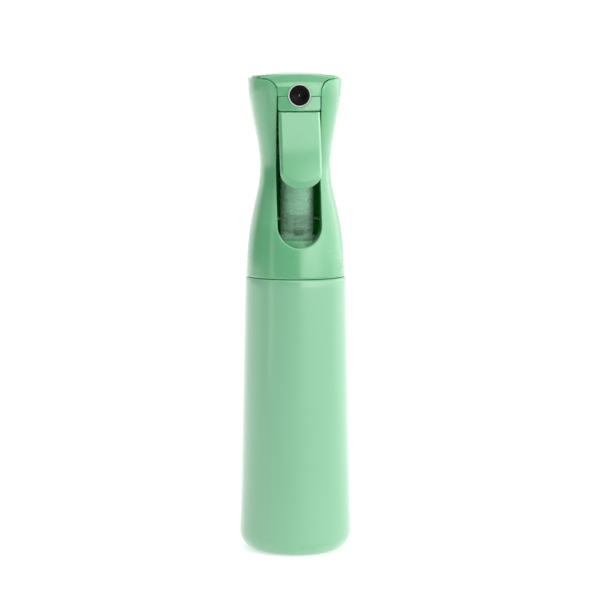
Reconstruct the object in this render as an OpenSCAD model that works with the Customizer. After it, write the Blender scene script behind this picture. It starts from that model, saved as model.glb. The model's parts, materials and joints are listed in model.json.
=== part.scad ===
// Hand mister: a refillable bottle with a screw-on continuous spray head.
// Millimetres, +Z up, the bottle's axis is the Z axis, its foot is z = 0 and the nozzle points to -Y.
// Squeezing the trigger lifts the pump cup over a fixed plunger. The liquid opens the outlet
// poppet, fills the spring loaded buffer barrel and leaves through the nozzle.

/* [Bottle] */
// Height of the bottle from its foot to the seam under the head
bottle_h = 141.5; // [110:0.5:180]
// Radius of the bottle just above its foot
base_r = 29.05; // [26:0.05:36]
// Radius of the bottle at the seam
top_r = 26.05; // [24:0.05:32]
// Wall of the bottle
bottle_wall = 1.2; // [0.8:0.1:2]
// Radius of the corner between side and foot
corner_r = 10.2; // [5:0.1:12]
// Inner radius of the flat ring that the bottle stands on
foot_ring_r = 15; // [10:0.5:16]
// How far the middle of the bottom is pushed up
push_up = 2.5; // [1:0.1:5]

/* [Neck and closure] */
// Outer radius of the neck, without its thread
neck_r = 12.5; // [10:0.1:15]
// Wall of the neck
neck_wall = 1.5; // [1:0.1:2]
// Height of the neck's lip above the seam
neck_h = 13.5; // [12:0.1:18]
// Rise of the thread in one turn
thread_pitch = 4.2; // [3.6:0.1:5]
// Height of the thread ridge
thread_depth = 1.25; // [0.8:0.05:1.5]
// Turns of the thread on the neck
thread_turns = 1.5; // [1:0.25:1.5]
// Wall of the closure ring
closure_wall = 2.45; // [1.5:0.05:3]
// Thickness of the gasket on the lip
gasket_h = 1.2; // [0.8:0.1:2]

/* [Pump engine] */
// Height of the nozzle axis above the seam
nozzle_h = 92.2; // [80:0.1:112]
// Bore radius of the buffer barrel
buffer_bore_r = 7.2; // [6:0.1:8.7]
// Wall of both barrels
barrel_wall = 1.3; // [1:0.1:1.6]
// Place of the buffer barrel's axis along Y
buffer_y = -5.5; // [-6.5:0.1:-4]
// Bore radius of the pump barrel
pump_bore_r = 6.2; // [5.2:0.1:7.5]
// Travel of the buffer piston
buffer_stroke = 7; // [4:0.5:9]
// Outer radius of the dip tube
tube_r = 2.5; // [2:0.1:3]
// Place of the dip tube's axis along Y
tube_y = 4.5; // [3.5:0.1:4.9]

/* [Trigger] */
// Swing of the trigger in degrees
swing = 17; // [10:0.5:19]
// Radius of the pivot pin
pin_r = 1.25; // [1:0.05:1.5]
// Height of the trigger blade
blade_h = 38.1; // [32:0.1:42]
// Thickness of the trigger blade
blade_t = 2.2; // [1.6:0.1:2.6]
// Reach of the trigger tip in front of the bottle's axis
trigger_reach = 31.3; // [29:0.1:34]

/* [Head] */
// Wall of the head shell
head_wall = 1.8; // [1.2:0.1:2.2]
// Radius of the shell's corners at the top of the trigger slot
wing_corner_r = 6.3; // [4:0.1:8]
// How far those corners lie below the rim
wing_drop = 1; // [0.5:0.1:2]
// Height of the rim above the nozzle axis
rim_rise = 9.3; // [8.5:0.1:12]
// Rise of the top cover's crown above the rim
crown = 2.9; // [2:0.1:4]
// Depth of the walls beside the trigger slot, as a place along Y
slot_back_y = -8; // [-10:0.5:-7.5]

/* [Hidden] */
$fn = 64;

// Colours
mint = [0.55, 0.84, 0.68];
frosted = [0.80, 0.90, 0.86];
white = [0.93, 0.94, 0.93];
black = [0.06, 0.06, 0.07];
rubber = [0.22, 0.23, 0.24];
steel = [0.72, 0.73, 0.75];

eps = 0.01;

// Named clearances
slide_gap = 0.1;     // a plug in its bore
run_gap = 0.05;      // a seal or pin that runs in its bore
loose_gap = 0.3;     // a moving piece beside a fixed one
cover_gap = 0.2;     // between the head's outer pieces

// Bottle and closure, from the seam upwards
seam_z = bottle_h;
skirt_step = 0.3;                        // the bottle stands this much proud of the head
head_r = top_r - skirt_step;
shell_z0 = seam_z + 0.2;                 // lower edge of the head shell
register_r = head_r - head_wall - 0.55;  // raised deck that centres the skirt
deck_z = seam_z + 1.5;
edge_r = 1.2;                            // rounding of the bottle's shoulder
neck_bore_r = neck_r - neck_wall;
lip_z = seam_z + neck_h;
thread_z = deck_z + 3.5;                 // where the thread starts
closure_z = deck_z + 1;
closure_bore_r = neck_r + thread_depth + loose_gap;
closure_r = closure_bore_r + closure_wall;
plug_z = lip_z + gasket_h;
plug_flange_h = 1.8;
flange_z = plug_z + plug_flange_h;
flange_h = 2.2;
closure_top_z = flange_z + flange_h;
spigot_r = neck_bore_r - 2.6;
spigot_h = 5.5;
sleeve_r = neck_bore_r - 0.4;
sleeve_h = 6.2;
sleeve_wall = 1.2;
key_count = 6;                           // fins of the shell that key into the closure
key_depth = 0.5;
key_t = 1.4;

// Barrels
plate_z = closure_top_z;
plate_h = 2.8;
plate_r = spigot_r + 4.8;
floor_z = plate_z + plate_h + 3;
nozzle_z = seam_z + nozzle_h;
barrel_top_z = nozzle_z - 19.7;
buffer_r = buffer_bore_r + barrel_wall;
pump_r = pump_bore_r + barrel_wall - 0.1;
pump_y = buffer_y + buffer_r + pump_r - 0.9;
pump_top_z = nozzle_z - 30.7;
rib_z = floor_z + 4.8;
rib_t = 1;
channel_r = 1.5;

// Buffer piston and spring
plug_depth = 6;
crown_z = barrel_top_z - plug_depth - 1;             // top of the piston
piston_z0 = floor_z + buffer_stroke + 0.5;           // lower edge of its skirt
piston_r = buffer_bore_r - slide_gap;
piston_wall = 1;
crown_t = 3;
seal_h = 3;
buffer_wire = 1.2;
buffer_spring_r = piston_r - piston_wall - buffer_wire / 2 - 0.35;

// Pump cup, its spring and the side pegs
lever = pump_y + 13.5;
pivot_y = pump_y - lever;
pivot_z = nozzle_z - 12.2;
peg_z = pivot_z - lever * tan(swing / 2);
stroke = 2 * lever * tan(swing / 2);
cup_r = pump_bore_r - loose_gap;
cup_wall = 1.3;
cup_bore_r = cup_r - cup_wall;
cup_z = pump_top_z - 25;
cup_floor_z = cup_z + 5.5;
cup_seal_t = 0.9;
collar_z = pump_top_z + 0.2;
collar_h = 3;
pump_wire = 0.9;
pump_spring_r = cup_r - loose_gap;
strap_x = pump_spring_r + pump_wire / 2 + 0.65;
strap_t = 1.8;
strap_half_y = 2.2;
peg_r = 1.5;
ball_r = 1.6;
ball_z = cup_z + 2.95;
retainer_h = 1.2;
seal_z = cup_floor_z + retainer_h + stroke + 1.4;    // lower end of the plunger
plunger_r = cup_bore_r - 1.2;
plunger_bore_r = 1.3;
tip_r = plunger_r - 0.8;

// Trigger and slot, outwards from the pegs
arm_x = strap_x + strap_t + 0.4;
arm_t = 1.45;
arm_half_h = 2.75;
trigger_half = arm_x + arm_t + 0.05;
slot_half = trigger_half + 0.8;
lug_x = arm_x - 0.3;
lug_t = 2;
blade_top_z = nozzle_z - 8.3;
blade_bottom_z = blade_top_z - blade_h;

// Manifold
main_r = 3.6;
main_bore_r = 1.2;
riser_r = 4.5;
housing_r = 5.6;
housing_z = nozzle_z - 6.2;
housing_top_z = nozzle_z + 6.3;
seat_z = nozzle_z - 2.7;
chamber_r = 2.6;
poppet_z = seat_z + 1.05;
cap_z = nozzle_z + 3.8;
outlet_wire = 0.4;
spigot_y = -12;
spigot_end_y = -15.5;
nozzle_spigot_r = 2.8;

// Nozzle and front block
collar_r = 5.8;
tip_out_r = 5.1;
front_y = -19.7;
block_half = slot_half - 0.5;
block_h = 7.3;
block_top_z = nozzle_z - 0.6;
block_back_y = -8.5;
apron_back_y = -10;
plan_r = 44;                             // plan curve of the block's front

// Head shell: height share, then how far width, front and back lie inside the seam radius
rim_z = nozzle_z + rim_rise;
STATIONS = [
    [0, 0, 0, 0],
    [0.131, 0.80, 0.85, 0.75],
    [0.250, 2.35, 2.75, 1.95],
    [0.368, 4.75, 5.75, 3.85],
    [0.467, 6.95, 7.85, 5.45],
    [0.546, 7.55, 8.75, 5.95],
    [0.645, 6.70, 8.35, 4.95],
    [0.783, 4.20, 6.95, 1.95],
    [0.901, 2.25, 5.45, -1.45],
    [1, 1.60, 4.95, -2.95]
];
lean = 4;                                // how far the section's middle moves back at the rim
slot_low_z = shell_z0 + 15.5 + slot_half;
ledge_z = rim_z - 4.8;
ledge_h = 1.6;
ledge_w = 1.2;
cover_t = 1.8;
cover_z = ledge_z + ledge_h;
apron_z = block_top_z + 0.2;
crown_side_r = 118;
crown_long_r = 112;
engine_back = pump_y + pump_r + head_wall + 0.9;  // the shell leaves room for the pump barrel

// ---- Helpers ----

// Points of an arc from angle a to b
function arc(x, y, r, a, b, n = 8) = [for (i = [0 : n]) let (t = a + (b - a) * i / n) [x + r * cos(t), y + r * sin(t)]];

// Faces of a sweep through rings of m points each, both ends closed
function sweep_faces(rings, m) = concat(
    [[for (j = [0 : m - 1]) j]],
    [for (i = [0 : rings - 2], j = [0 : m - 1]) let (k = (j + 1) % m)
        each [[i * m + j, (i + 1) * m + j, (i + 1) * m + k], [i * m + j, (i + 1) * m + k, i * m + k]]],
    [[for (j = [m - 1 : -1 : 0]) (rings - 1) * m + j]]
);

// A tube along Z from z0 to z1
module tube(r_out, r_in, z0, z1) {
    translate([0, 0, z0]) difference() {
        cylinder(r = r_out, h = z1 - z0);
        translate([0, 0, -1]) cylinder(r = r_in, h = z1 - z0 + 2);
    }
}

// A round bar along Z from z0 to z1
module rod(r, z0, z1) {
    translate([0, 0, z0]) cylinder(r = r, h = z1 - z0);
}

// A round bar along Y from y0 to y1 on the nozzle axis
module rod_y(r, y0, y1) {
    translate([0, y1, nozzle_z]) rotate([90, 0, 0]) cylinder(r = r, h = y1 - y0);
}

// A round bar along X, centred
module rod_x(r, half) {
    rotate([0, 90, 0]) cylinder(r = r, h = 2 * half, center = true);
}

// A box from one corner to the other
module block(a, b) {
    translate(a) cube(b - a);
}

// A ring of round wire or rubber
module o_ring(r, wire) {
    rotate_extrude() translate([r, 0]) circle(r = wire, $fn = 24);
}

// A thread ridge on the radius root, right handed, tapered at both ends
module ridge(root, crest, z0, turns, w_root = 2.2, w_crest = 1) {
    n = 32;
    steps = round(turns * n);
    points = [for (i = [0 : steps])
        let (a = i * 360 / n, z = z0 + thread_pitch * i / n,
             s = max(0.12, min(1, i / 6, (steps - i) / 6)),
             c = root + (crest - root) * s,
             section = crest > root
                ? [[root, -w_root], [root, w_root], [c, w_crest], [c, -w_crest]]
                : [[c, -w_crest], [c, w_crest], [root, w_root], [root, -w_root]])
        for (p = section) [p[0] * cos(a), p[0] * sin(a), z + p[1] / 2]];
    polyhedron(points, sweep_faces(steps + 1, 4), convexity = 6);
}

// A compression spring with closed end turns, standing from z0 to z1
module coil(r, wire, z0, z1, turns) {
    n = 18;
    m = 6;
    steps = round(turns * n);
    low = z0 + wire / 2;
    rise = z1 - z0 - wire;
    closed = 1.06 * wire;
    points = [for (i = [0 : steps])
        let (u = i / n, a = 360 * u, open_turns = turns - 2,
             pitch = (rise - 2 * closed) / open_turns,
             z = u < 1 ? closed * u : u > turns - 1 ? rise - closed * (turns - u) : closed + pitch * (u - 1))
        for (j = [0 : m - 1]) let (b = 360 * j / m, q = r - wire / 2 * cos(b))
            [q * cos(a), q * sin(a), low + z + wire / 2 * sin(b)]];
    polyhedron(points, sweep_faces(steps + 1, m), convexity = 10);
}

// ---- Bottle and closure ----

module bottle() {
    corner = [base_r - corner_r, corner_r];
    outer = concat(
        [[0, push_up], [foot_ring_r * 0.55, push_up * 0.86], [foot_ring_r - 1.6, 0.5], [foot_ring_r, 0]],
        arc(corner[0], corner[1], corner_r, -90, 0, 14),
        arc(top_r - edge_r, seam_z - edge_r, edge_r, 0, 90, 5),
        [[register_r, seam_z], [register_r, deck_z], [neck_r + 0.8, deck_z], [neck_r, deck_z + 0.8],
         [neck_r, lip_z], [neck_bore_r, lip_z]]
    );
    inner = concat(
        [[neck_bore_r, deck_z - bottle_wall], [register_r - bottle_wall, deck_z - bottle_wall],
         [register_r - bottle_wall, seam_z - bottle_wall], [top_r - edge_r - 0.5, seam_z - bottle_wall],
         [top_r - bottle_wall, seam_z - bottle_wall - 1.2]],
        arc(corner[0], corner[1], corner_r - bottle_wall, 0, -90, 14),
        [[foot_ring_r, bottle_wall], [foot_ring_r - 2, bottle_wall + 0.6],
         [foot_ring_r * 0.55, push_up * 0.86 + bottle_wall], [0, push_up + bottle_wall]]
    );
    color(mint) union() {
        rotate_extrude() polygon(concat(outer, inner));
        ridge(neck_r - 0.3, neck_r + thread_depth, thread_z, thread_turns);
    }
}

module neck_gasket() {
    color(rubber) tube(neck_r + 0.2, neck_bore_r + 0.1, lip_z, plug_z);
}

module closure_ring() {
    color(mint) union() {
        difference() {
            rod(closure_r, closure_z, closure_top_z);
            rod(closure_bore_r, closure_z - 1, flange_z);
            rod(spigot_r + 0.8, flange_z - 1, closure_top_z + 1);
            for (k = [0 : key_count - 1]) rotate(360 * k / key_count)
                block([closure_r - key_depth, -key_t / 2 - cover_gap, closure_z - 1],
                      [closure_r + 1, key_t / 2 + cover_gap, closure_top_z - 3]);
        }
        ridge(closure_bore_r + 0.3, neck_r + loose_gap, thread_z + thread_pitch / 2, 1.25);
    }
}

module neck_plug() {
    color(white) difference() {
        union() {
            rod(closure_bore_r - 0.15, plug_z, flange_z);
            tube(sleeve_r, sleeve_r - sleeve_wall, plug_z - sleeve_h, plug_z + eps);
            rod(spigot_r, plug_z, flange_z + spigot_h);
            translate([0, tube_y, 0]) rod(tube_r + 1.5, plug_z - 10, plug_z + eps);
        }
        translate([0, tube_y, 0]) rod(tube_r, plug_z - 11, plug_z - 0.2);
        translate([0, tube_y, 0]) rod(channel_r, plug_z - 1, flange_z + spigot_h + 1);
        translate([0, -6, 0]) rod(1, plug_z - 1, flange_z + spigot_h - 2);
        translate([0, -6, flange_z + spigot_h - 2.5]) rod_x(0.7, spigot_r + 1);
        for (x = [-1.8, 1.8]) translate([x, -6, 0]) rod(0.4, plug_z - 1, flange_z + 1);
    }
}

module vent_valve() {
    color(rubber) translate([0, -6, 0]) union() {
        rod(2.6, plug_z - 0.9, plug_z);
        rod(0.95, plug_z - 0.5, flange_z);
    }
}

module dip_tube() {
    color(frosted) translate([0, tube_y, 0]) difference() {
        rod(tube_r - run_gap, push_up + bottle_wall + 2.5, plug_z - 0.2);
        rod(tube_r - 0.9, push_up, plug_z);
        // Slanted lower end
        translate([0, 0, push_up + bottle_wall + 2.5]) rotate([0, 35, 0]) cube([9, 9, 3], center = true);
    }
}

// ---- Buffer and pump ----

module barrel_body() {
    socket_top = flange_z + spigot_h + 0.05;
    color(frosted) difference() {
        union() {
            rod(plate_r, plate_z, plate_z + plate_h);
            translate([0, buffer_y, 0]) rod(buffer_r, plate_z + plate_h / 2, barrel_top_z);
            translate([0, pump_y, 0]) rod(pump_r, plate_z + plate_h / 2, pump_top_z);
            block([-slot_half - 1.3, slot_back_y + 0.6, rib_z], [slot_half + 1.3, pump_y - 1, rib_z + rib_t]);
        }
        translate([0, buffer_y, 0]) rod(buffer_bore_r, floor_z, barrel_top_z + 1);
        translate([0, pump_y, 0]) rod(pump_bore_r, floor_z, pump_top_z + 1);
        rod(spigot_r + run_gap, plate_z - 1, socket_top);
        // Feed from the dip tube to the pump barrel
        block([-channel_r, tube_y - channel_r, socket_top - 0.5], [channel_r, pump_y + channel_r, socket_top + 1]);
        translate([0, pump_y, 0]) rod(channel_r, socket_top, floor_z + 1);
    }
}

module buffer_piston() {
    color(white) translate([0, buffer_y, 0]) difference() {
        rod(piston_r, piston_z0, crown_z);
        rod(piston_r - piston_wall, piston_z0 - 1, crown_z - crown_t - seal_h);
        rod(piston_r - 3, crown_z - 2 * crown_t, crown_z - crown_t + 1);
        tube(piston_r + 1, piston_r - 0.9, crown_z - 1 - seal_h, crown_z - 1);
    }
}

module buffer_seal() {
    color(rubber) translate([0, buffer_y, 0])
        tube(buffer_bore_r - run_gap, piston_r - 0.9, crown_z - 1 - seal_h, crown_z - 1);
}

module buffer_spring() {
    color(steel) translate([0, buffer_y, 0])
        coil(buffer_spring_r, buffer_wire, floor_z, crown_z - crown_t - seal_h, 10);
}

module plunger() {
    color(white) translate([0, pump_y, 0]) difference() {
        union() {
            rod(plunger_r, seal_z + 4.6, seat_z - 0.1);
            rod(tip_r, seal_z, seal_z + 4.7);
        }
        rod(plunger_bore_r, seal_z - 1, seat_z + 1);
    }
}

module plunger_seal() {
    color(rubber) translate([0, pump_y, 0]) tube(cup_bore_r - run_gap, tip_r, seal_z + 0.3, seal_z + 4.3);
}

module pump_cup() {
    color(white) difference() {
        union() {
            translate([0, pump_y, 0]) {
                rod(cup_r, cup_z + 6, collar_z);
                rod(cup_r - cup_seal_t, cup_z, cup_z + 6);
                rod(cup_r + 0.3, collar_z, collar_z + collar_h);
            }
            for (s = [-1, 1]) {
                block([min(s * (cup_r - 1), s * (strap_x + strap_t)), pump_y - strap_half_y, collar_z],
                      [max(s * (cup_r - 1), s * (strap_x + strap_t)), pump_y + strap_half_y, collar_z + collar_h]);
                block([min(s * strap_x, s * (strap_x + strap_t)), pump_y - strap_half_y, collar_z],
                      [max(s * strap_x, s * (strap_x + strap_t)), pump_y + strap_half_y, peg_z + 2.2]);
            }
            for (s = [-1, 1]) translate([s * (strap_x + strap_t / 2 + (arm_x + arm_t)) / 2, pump_y, peg_z])
                rod_x(peg_r, (arm_x + arm_t - strap_x - strap_t / 2) / 2);
        }
        translate([0, pump_y, 0]) {
            rod(cup_bore_r, cup_floor_z, collar_z + collar_h + 1);
            rod(2.2, ball_z - 1.15, cup_floor_z + 1);
            rod(1.2, cup_z - 1, cup_floor_z);
        }
    }
}

module cup_seal() {
    color(rubber) translate([0, pump_y, 0]) tube(pump_bore_r - run_gap, cup_r - cup_seal_t, cup_z + 1, cup_z + 5);
}

module inlet_ball() {
    color(steel) translate([0, pump_y, ball_z]) sphere(r = ball_r);
}

module ball_retainer() {
    color(white) translate([0, pump_y, 0]) difference() {
        rod(cup_bore_r - run_gap, cup_floor_z, cup_floor_z + retainer_h);
        for (k = [0 : 2]) rotate(120 * k) translate([2, 0, 0])
            rod(0.8, cup_floor_z - 1, cup_floor_z + retainer_h + 1);
    }
}

module pump_spring() {
    color(steel) translate([0, pump_y, 0]) coil(pump_spring_r, pump_wire, collar_z + collar_h, housing_z, 7);
}

// ---- Manifold and nozzle ----

module manifold() {
    color(white) difference() {
        union() {
            rod_y(main_r, spigot_y, pump_y);
            rod_y(nozzle_spigot_r, spigot_end_y, spigot_y + 1);
            translate([0, buffer_y, 0]) {
                rod(piston_r, barrel_top_z - plug_depth, barrel_top_z + 1);
                rod(buffer_r, barrel_top_z, barrel_top_z + 2);
                rod(riser_r, barrel_top_z + 1, nozzle_z);
            }
            translate([0, pump_y, 0]) {
                rod(housing_r, housing_z, housing_top_z);
                rod(pump_spring_r + pump_wire / 2 + 0.1, housing_z, housing_z + 1.5);
            }
            // Lugs that carry the pivot pin
            block([-lug_x, pivot_y - 1.5, barrel_top_z], [lug_x, buffer_y, barrel_top_z + 2]);
            for (s = [-1, 1]) {
                block([s * (lug_x - lug_t / 2) - lug_t / 2, pivot_y - 2.5, barrel_top_z],
                      [s * (lug_x - lug_t / 2) + lug_t / 2, pivot_y + 5, pivot_z]);
                translate([s * (lug_x - lug_t / 2), pivot_y, pivot_z]) rod_x(2.5, lug_t / 2);
            }
        }
        rod_y(main_bore_r, spigot_end_y - 1, pump_y);
        // Groove for the nozzle's ring
        translate([0, -13.3, nozzle_z]) rotate([90, 0, 0]) difference() {
            cylinder(r = 4, h = 1.2);
            translate([0, 0, -1]) cylinder(r = nozzle_spigot_r - 0.5, h = 4);
        }
        translate([0, buffer_y, 0]) {
            rod(main_bore_r, barrel_top_z - plug_depth - 1, nozzle_z);
            tube(piston_r + 1, piston_r - 0.7, barrel_top_z - 4.1, barrel_top_z - 2.9);
        }
        translate([0, pump_y, 0]) {
            rod(plunger_r + run_gap, housing_z - 1, seat_z);
            rod(main_bore_r, seat_z - 1, seat_z + 2);
            rod(chamber_r, seat_z + 1, housing_top_z + 1);
        }
        translate([0, pivot_y, pivot_z]) rod_x(pin_r, lug_x + 1);
    }
}

module manifold_o_ring() {
    color(rubber) translate([0, buffer_y, barrel_top_z - 3.5]) o_ring(piston_r - 0.32, 0.37);
}

module outlet_poppet() {
    color(black) translate([0, pump_y, 0]) union() {
        rod(chamber_r - 0.35, poppet_z, poppet_z + 0.9);
        rod(0.9, poppet_z, poppet_z + 3.2);
    }
}

module outlet_spring() {
    color(steel) translate([0, pump_y, 0]) coil(1.6, outlet_wire, poppet_z + 0.9, cap_z, 6);
}

module valve_cap() {
    color(white) translate([0, pump_y, 0]) union() {
        rod(chamber_r - run_gap, cap_z, housing_top_z);
        rod(4, housing_top_z, housing_top_z + 1.2);
    }
}

// Plan outline of the front block and of the cover's apron: a bowed front between two sides
module front_plan(half, y_front, y_back) {
    a = asin(half / plan_r);
    polygon(concat(
        [for (i = [0 : 12]) let (t = -a + 2 * a * i / 12) [plan_r * sin(t), y_front + plan_r - plan_r * cos(t)]],
        [[half, y_back], [-half, y_back]]
    ));
}

module nozzle_block() {
    z0 = block_top_z - block_h;
    color(mint) difference() {
        intersection() {
            translate([0, 0, z0]) linear_extrude(block_h) front_plan(block_half, front_y, block_back_y);
            // Rounded lower corners
            rotate([90, 0, 0]) linear_extrude(60, center = true) union() {
                translate([-block_half, z0 + 2]) square([2 * block_half, block_h]);
                translate([-block_half + 2, z0]) square([2 * block_half - 4, block_h]);
                for (s = [-1, 1]) translate([s * (block_half - 2), z0 + 2]) circle(r = 2);
            }
        }
        rod_y(collar_r + 0.1, front_y - 1, -11.1);
        rod_y(main_r + 0.05, -12, block_back_y + 1);
        translate([0, buffer_y, 0]) rod(riser_r + 0.05, z0 - 1, nozzle_z);
    }
}

module nozzle_collar() {
    color(mint) difference() {
        rod_y(collar_r, front_y - 0.2, -11.2);
        rod_y(tip_out_r + 0.05, front_y - 1, spigot_y - 0.2);
        rod_y(main_r + 0.05, spigot_y - 1, -10);
    }
}

module nozzle_tip() {
    color(black) difference() {
        rod_y(tip_out_r, front_y + 0.5, spigot_y - 0.2);
        rod_y(nozzle_spigot_r + 0.05, spigot_end_y - 0.1, spigot_y);
        rod_y(1.6, spigot_end_y - 2.6, spigot_end_y);
        rod_y(0.35, front_y - 1, spigot_end_y);
        translate([0, front_y + 0.5 + 0.7, nozzle_z]) rotate([90, 0, 0]) cylinder(r1 = 1.2, r2 = 3.4, h = 0.71);
    }
}

module spin_core() {
    color(white) difference() {
        rod_y(1.5, spigot_end_y - 2.4, spigot_end_y - 0.1);
        for (s = [-1, 1]) block([s * 1.2 - 0.3, spigot_end_y - 3, nozzle_z - 0.3],
                                [s * 1.2 + 0.3, spigot_end_y, nozzle_z + 0.3]);
        block([-1.2, spigot_end_y - 3, nozzle_z - 0.2], [1.2, spigot_end_y - 2, nozzle_z + 0.2]);
    }
}

module nozzle_o_ring() {
    color(rubber) translate([0, -13.9, nozzle_z]) rotate([90, 0, 0]) o_ring(nozzle_spigot_r - 0.23, 0.26);
}

module pivot_pin() {
    color(steel) translate([0, pivot_y, pivot_z]) rod_x(pin_r, arm_x + arm_t);
}

// ---- Trigger ----

// Front curve of the blade in the side view, from its top to its tip: [y, z]
function blade_curve(n = 10) = [for (i = [0 : n]) let (t = i / n)
    [-20 - (trigger_reach - 20) * sin(90 * pow(t, 0.92)), blade_top_z - blade_h * t]];

// Front view outline of the trigger, drawn in from its edge by d: [x, z]
module trigger_face(d = 0) {
    half = trigger_half - d;
    tip = 8.3;
    polygon(concat(
        [[-half, blade_top_z + 1], [-half, blade_bottom_z + tip]],
        [for (i = [1 : 23]) let (a = 180 + 180 * i / 24)
            [half * cos(a), blade_bottom_z + tip + (tip - d) * sin(a)]],
        [[half, blade_bottom_z + tip], [half, blade_top_z + 1]]
    ));
}

// Side view outline between the front curve and a rear edge: [y, z]
module trigger_side(rear) {
    polygon(concat(blade_curve(), rear));
}

// A side view outline drawn as a slab of the given half width
module side_slab(half) {
    rotate([90, 0, 90]) linear_extrude(2 * half, center = true) children();
}

// A front view outline drawn along Y from the tip to the pivot
module front_slab() {
    translate([0, pivot_y + 2, 0]) rotate([90, 0, 0]) linear_extrude(trigger_reach) children();
}

module trigger() {
    shifted = [for (p = blade_curve()) [p[0] + blade_t, p[1]]];
    flange = [[-27.3, blade_bottom_z + 0.6], [-25.5, blade_bottom_z + 10], [pivot_y - 4, pivot_z - 8],
              [pivot_y, pivot_z - 3.4], [pivot_y, blade_top_z]];
    color(mint) difference() {
        union() {
            // Blade
            intersection() {
                side_slab(trigger_half) trigger_side([for (i = [len(shifted) - 1 : -1 : 0]) shifted[i]]);
                front_slab() trigger_face();
            }
            // Rim around its back
            intersection() {
                side_slab(trigger_half) trigger_side(flange);
                front_slab() difference() {
                    trigger_face();
                    translate([0, 2]) trigger_face(arm_t);
                    translate([-trigger_half + arm_t, blade_top_z - 4]) square([2 * (trigger_half - arm_t), 9]);
                }
            }
            // Fork arms
            for (s = [-1, 1]) translate([s * (arm_x + arm_t / 2), pivot_y, pivot_z]) {
                rod_x(3.4, arm_t / 2);
                rotate([-swing / 2, 0, 0])
                    block([-arm_t / 2, 0, -arm_half_h], [arm_t / 2, lever / cos(swing / 2) + 2.5, arm_half_h]);
            }
        }
        translate([0, pivot_y, pivot_z]) rod_x(pin_r + run_gap, trigger_half + 1);
        // Open slots for the pegs
        translate([0, pivot_y, pivot_z]) rotate([-swing / 2, 0, 0])
            block([-20, lever / cos(swing / 2) - 2.4, -peg_r - 0.15], [20, lever + 10, peg_r + 0.15]);
        // Room for the lugs
        block([-arm_x + eps, pivot_y - 3.2, pivot_z - 12], [arm_x - eps, pivot_y + 8, pivot_z + 5]);
    }
}

// ---- Head shell and cover ----

// Smooth value of column c of STATIONS at height share t
function station(i) = STATIONS[max(0, min(len(STATIONS) - 1, i))];
function slope(i, c) = (station(i + 1)[c] - station(i - 1)[c]) / (station(i + 1)[0] - station(i - 1)[0]);
function cubic(i, t, c) =
    let (p = station(i), q = station(i + 1), w = q[0] - p[0], u = (t - p[0]) / w)
    (2 * pow(u, 3) - 3 * u * u + 1) * p[c] + (pow(u, 3) - 2 * u * u + u) * w * slope(i, c)
    + (3 * u * u - 2 * pow(u, 3)) * q[c] + (pow(u, 3) - u * u) * w * slope(i + 1, c);
function inset_at(t, c, i = 0) = t <= station(i + 1)[0] || i == len(STATIONS) - 2
    ? cubic(i, t, c) : inset_at(t, c, i + 1);

// One ring of the head's surface, drawn in by d
function power(v, n) = sign(v) * pow(abs(v), n);
function head_ring(share, d, m) =
    let (t = max(0, min(1, share)), c = lean * t, n = 2 / (2 + 0.15 * min(1, 4 * t)),
         half = head_r - inset_at(t, 1) - d, front = head_r - inset_at(t, 2) - d + c,
         back = max(head_r - inset_at(t, 3), engine_back) - d - c, z = shell_z0 + (rim_z - shell_z0) * share)
    [for (j = [0 : m - 1]) let (a = 360 * j / m)
        [half * power(cos(a), n), c + (sin(a) < 0 ? front : back) * power(sin(a), n), z]];

// The solid inside the head's outer surface between two height shares, drawn in by d
module head_body(d, share0 = 0, share1 = 1, rings = 22, m = 64) {
    points = [for (i = [0 : rings]) each head_ring(share0 + (share1 - share0) * i / rings, d, m)];
    polyhedron(points, sweep_faces(rings + 1, m), convexity = 4);
}

// Share of the head's height at z
function share(z) = (z - shell_z0) / (rim_z - shell_z0);

// Front view outline of the trigger slot, widened by d: [x, z]
module slot_outline(d = 0) {
    half = slot_half + d;
    low = slot_low_z;
    x = slot_half + wing_corner_r;
    z = rim_z - wing_drop - wing_corner_r;
    corner = wing_corner_r - d;
    polygon(concat(
        arc(0, low, half, 180, 360, 24),
        arc(x, z, corner, 180, 90, 8),
        [[head_r, rim_z - d], [head_r, rim_z + 9], [-head_r, rim_z + 9], [-head_r, rim_z - d]],
        arc(-x, z, corner, 90, 0, 8)
    ));
}

// An X-Z outline drawn along Y from y0 to y1
module along_y(y0, y1) {
    translate([0, y1, 0]) rotate([90, 0, 0]) linear_extrude(y1 - y0) children();
}

module head_shell() {
    // One surface with compound curves: resize() keeps its size and makes it one mesh
    color(mint) resize([0, 0, 0]) union() {
        difference() {
            head_body(0);
            head_body(head_wall, -0.02, 1.02);
            along_y(-40, 0) slot_outline();
        }
        // Walls beside the slot
        intersection() {
            head_body(0.4);
            difference() {
                along_y(-40, slot_back_y) difference() {
                    slot_outline(1.4);
                    slot_outline();
                }
                rod(closure_r + 0.4, 0, closure_top_z + 0.4);
                rod(plate_r + 0.5, 0, plate_z + plate_h + 0.4);
                rod(40, cover_z - cover_gap, rim_z + 1);
            }
        }
        // Ledge that the top cover rests on
        intersection() {
            difference() {
                head_body(head_wall - 0.5, share(ledge_z), share(ledge_z + ledge_h), 1);
                head_body(head_wall + ledge_w, share(ledge_z) - 0.01, share(ledge_z + ledge_h) + 0.01, 1);
            }
            block([-40, slot_back_y, 0], [40, 40, rim_z]);
        }
        // Fins that key into the closure ring
        intersection() {
            head_body(head_wall - 0.5, 0.02, 0.2, 4);
            for (k = [0 : key_count - 1]) rotate(360 * k / key_count)
                block([closure_r - key_depth + cover_gap, -key_t / 2, closure_z + 0.5],
                      [40, key_t / 2, closure_top_z - 3.7]);
        }
    }
}

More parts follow.
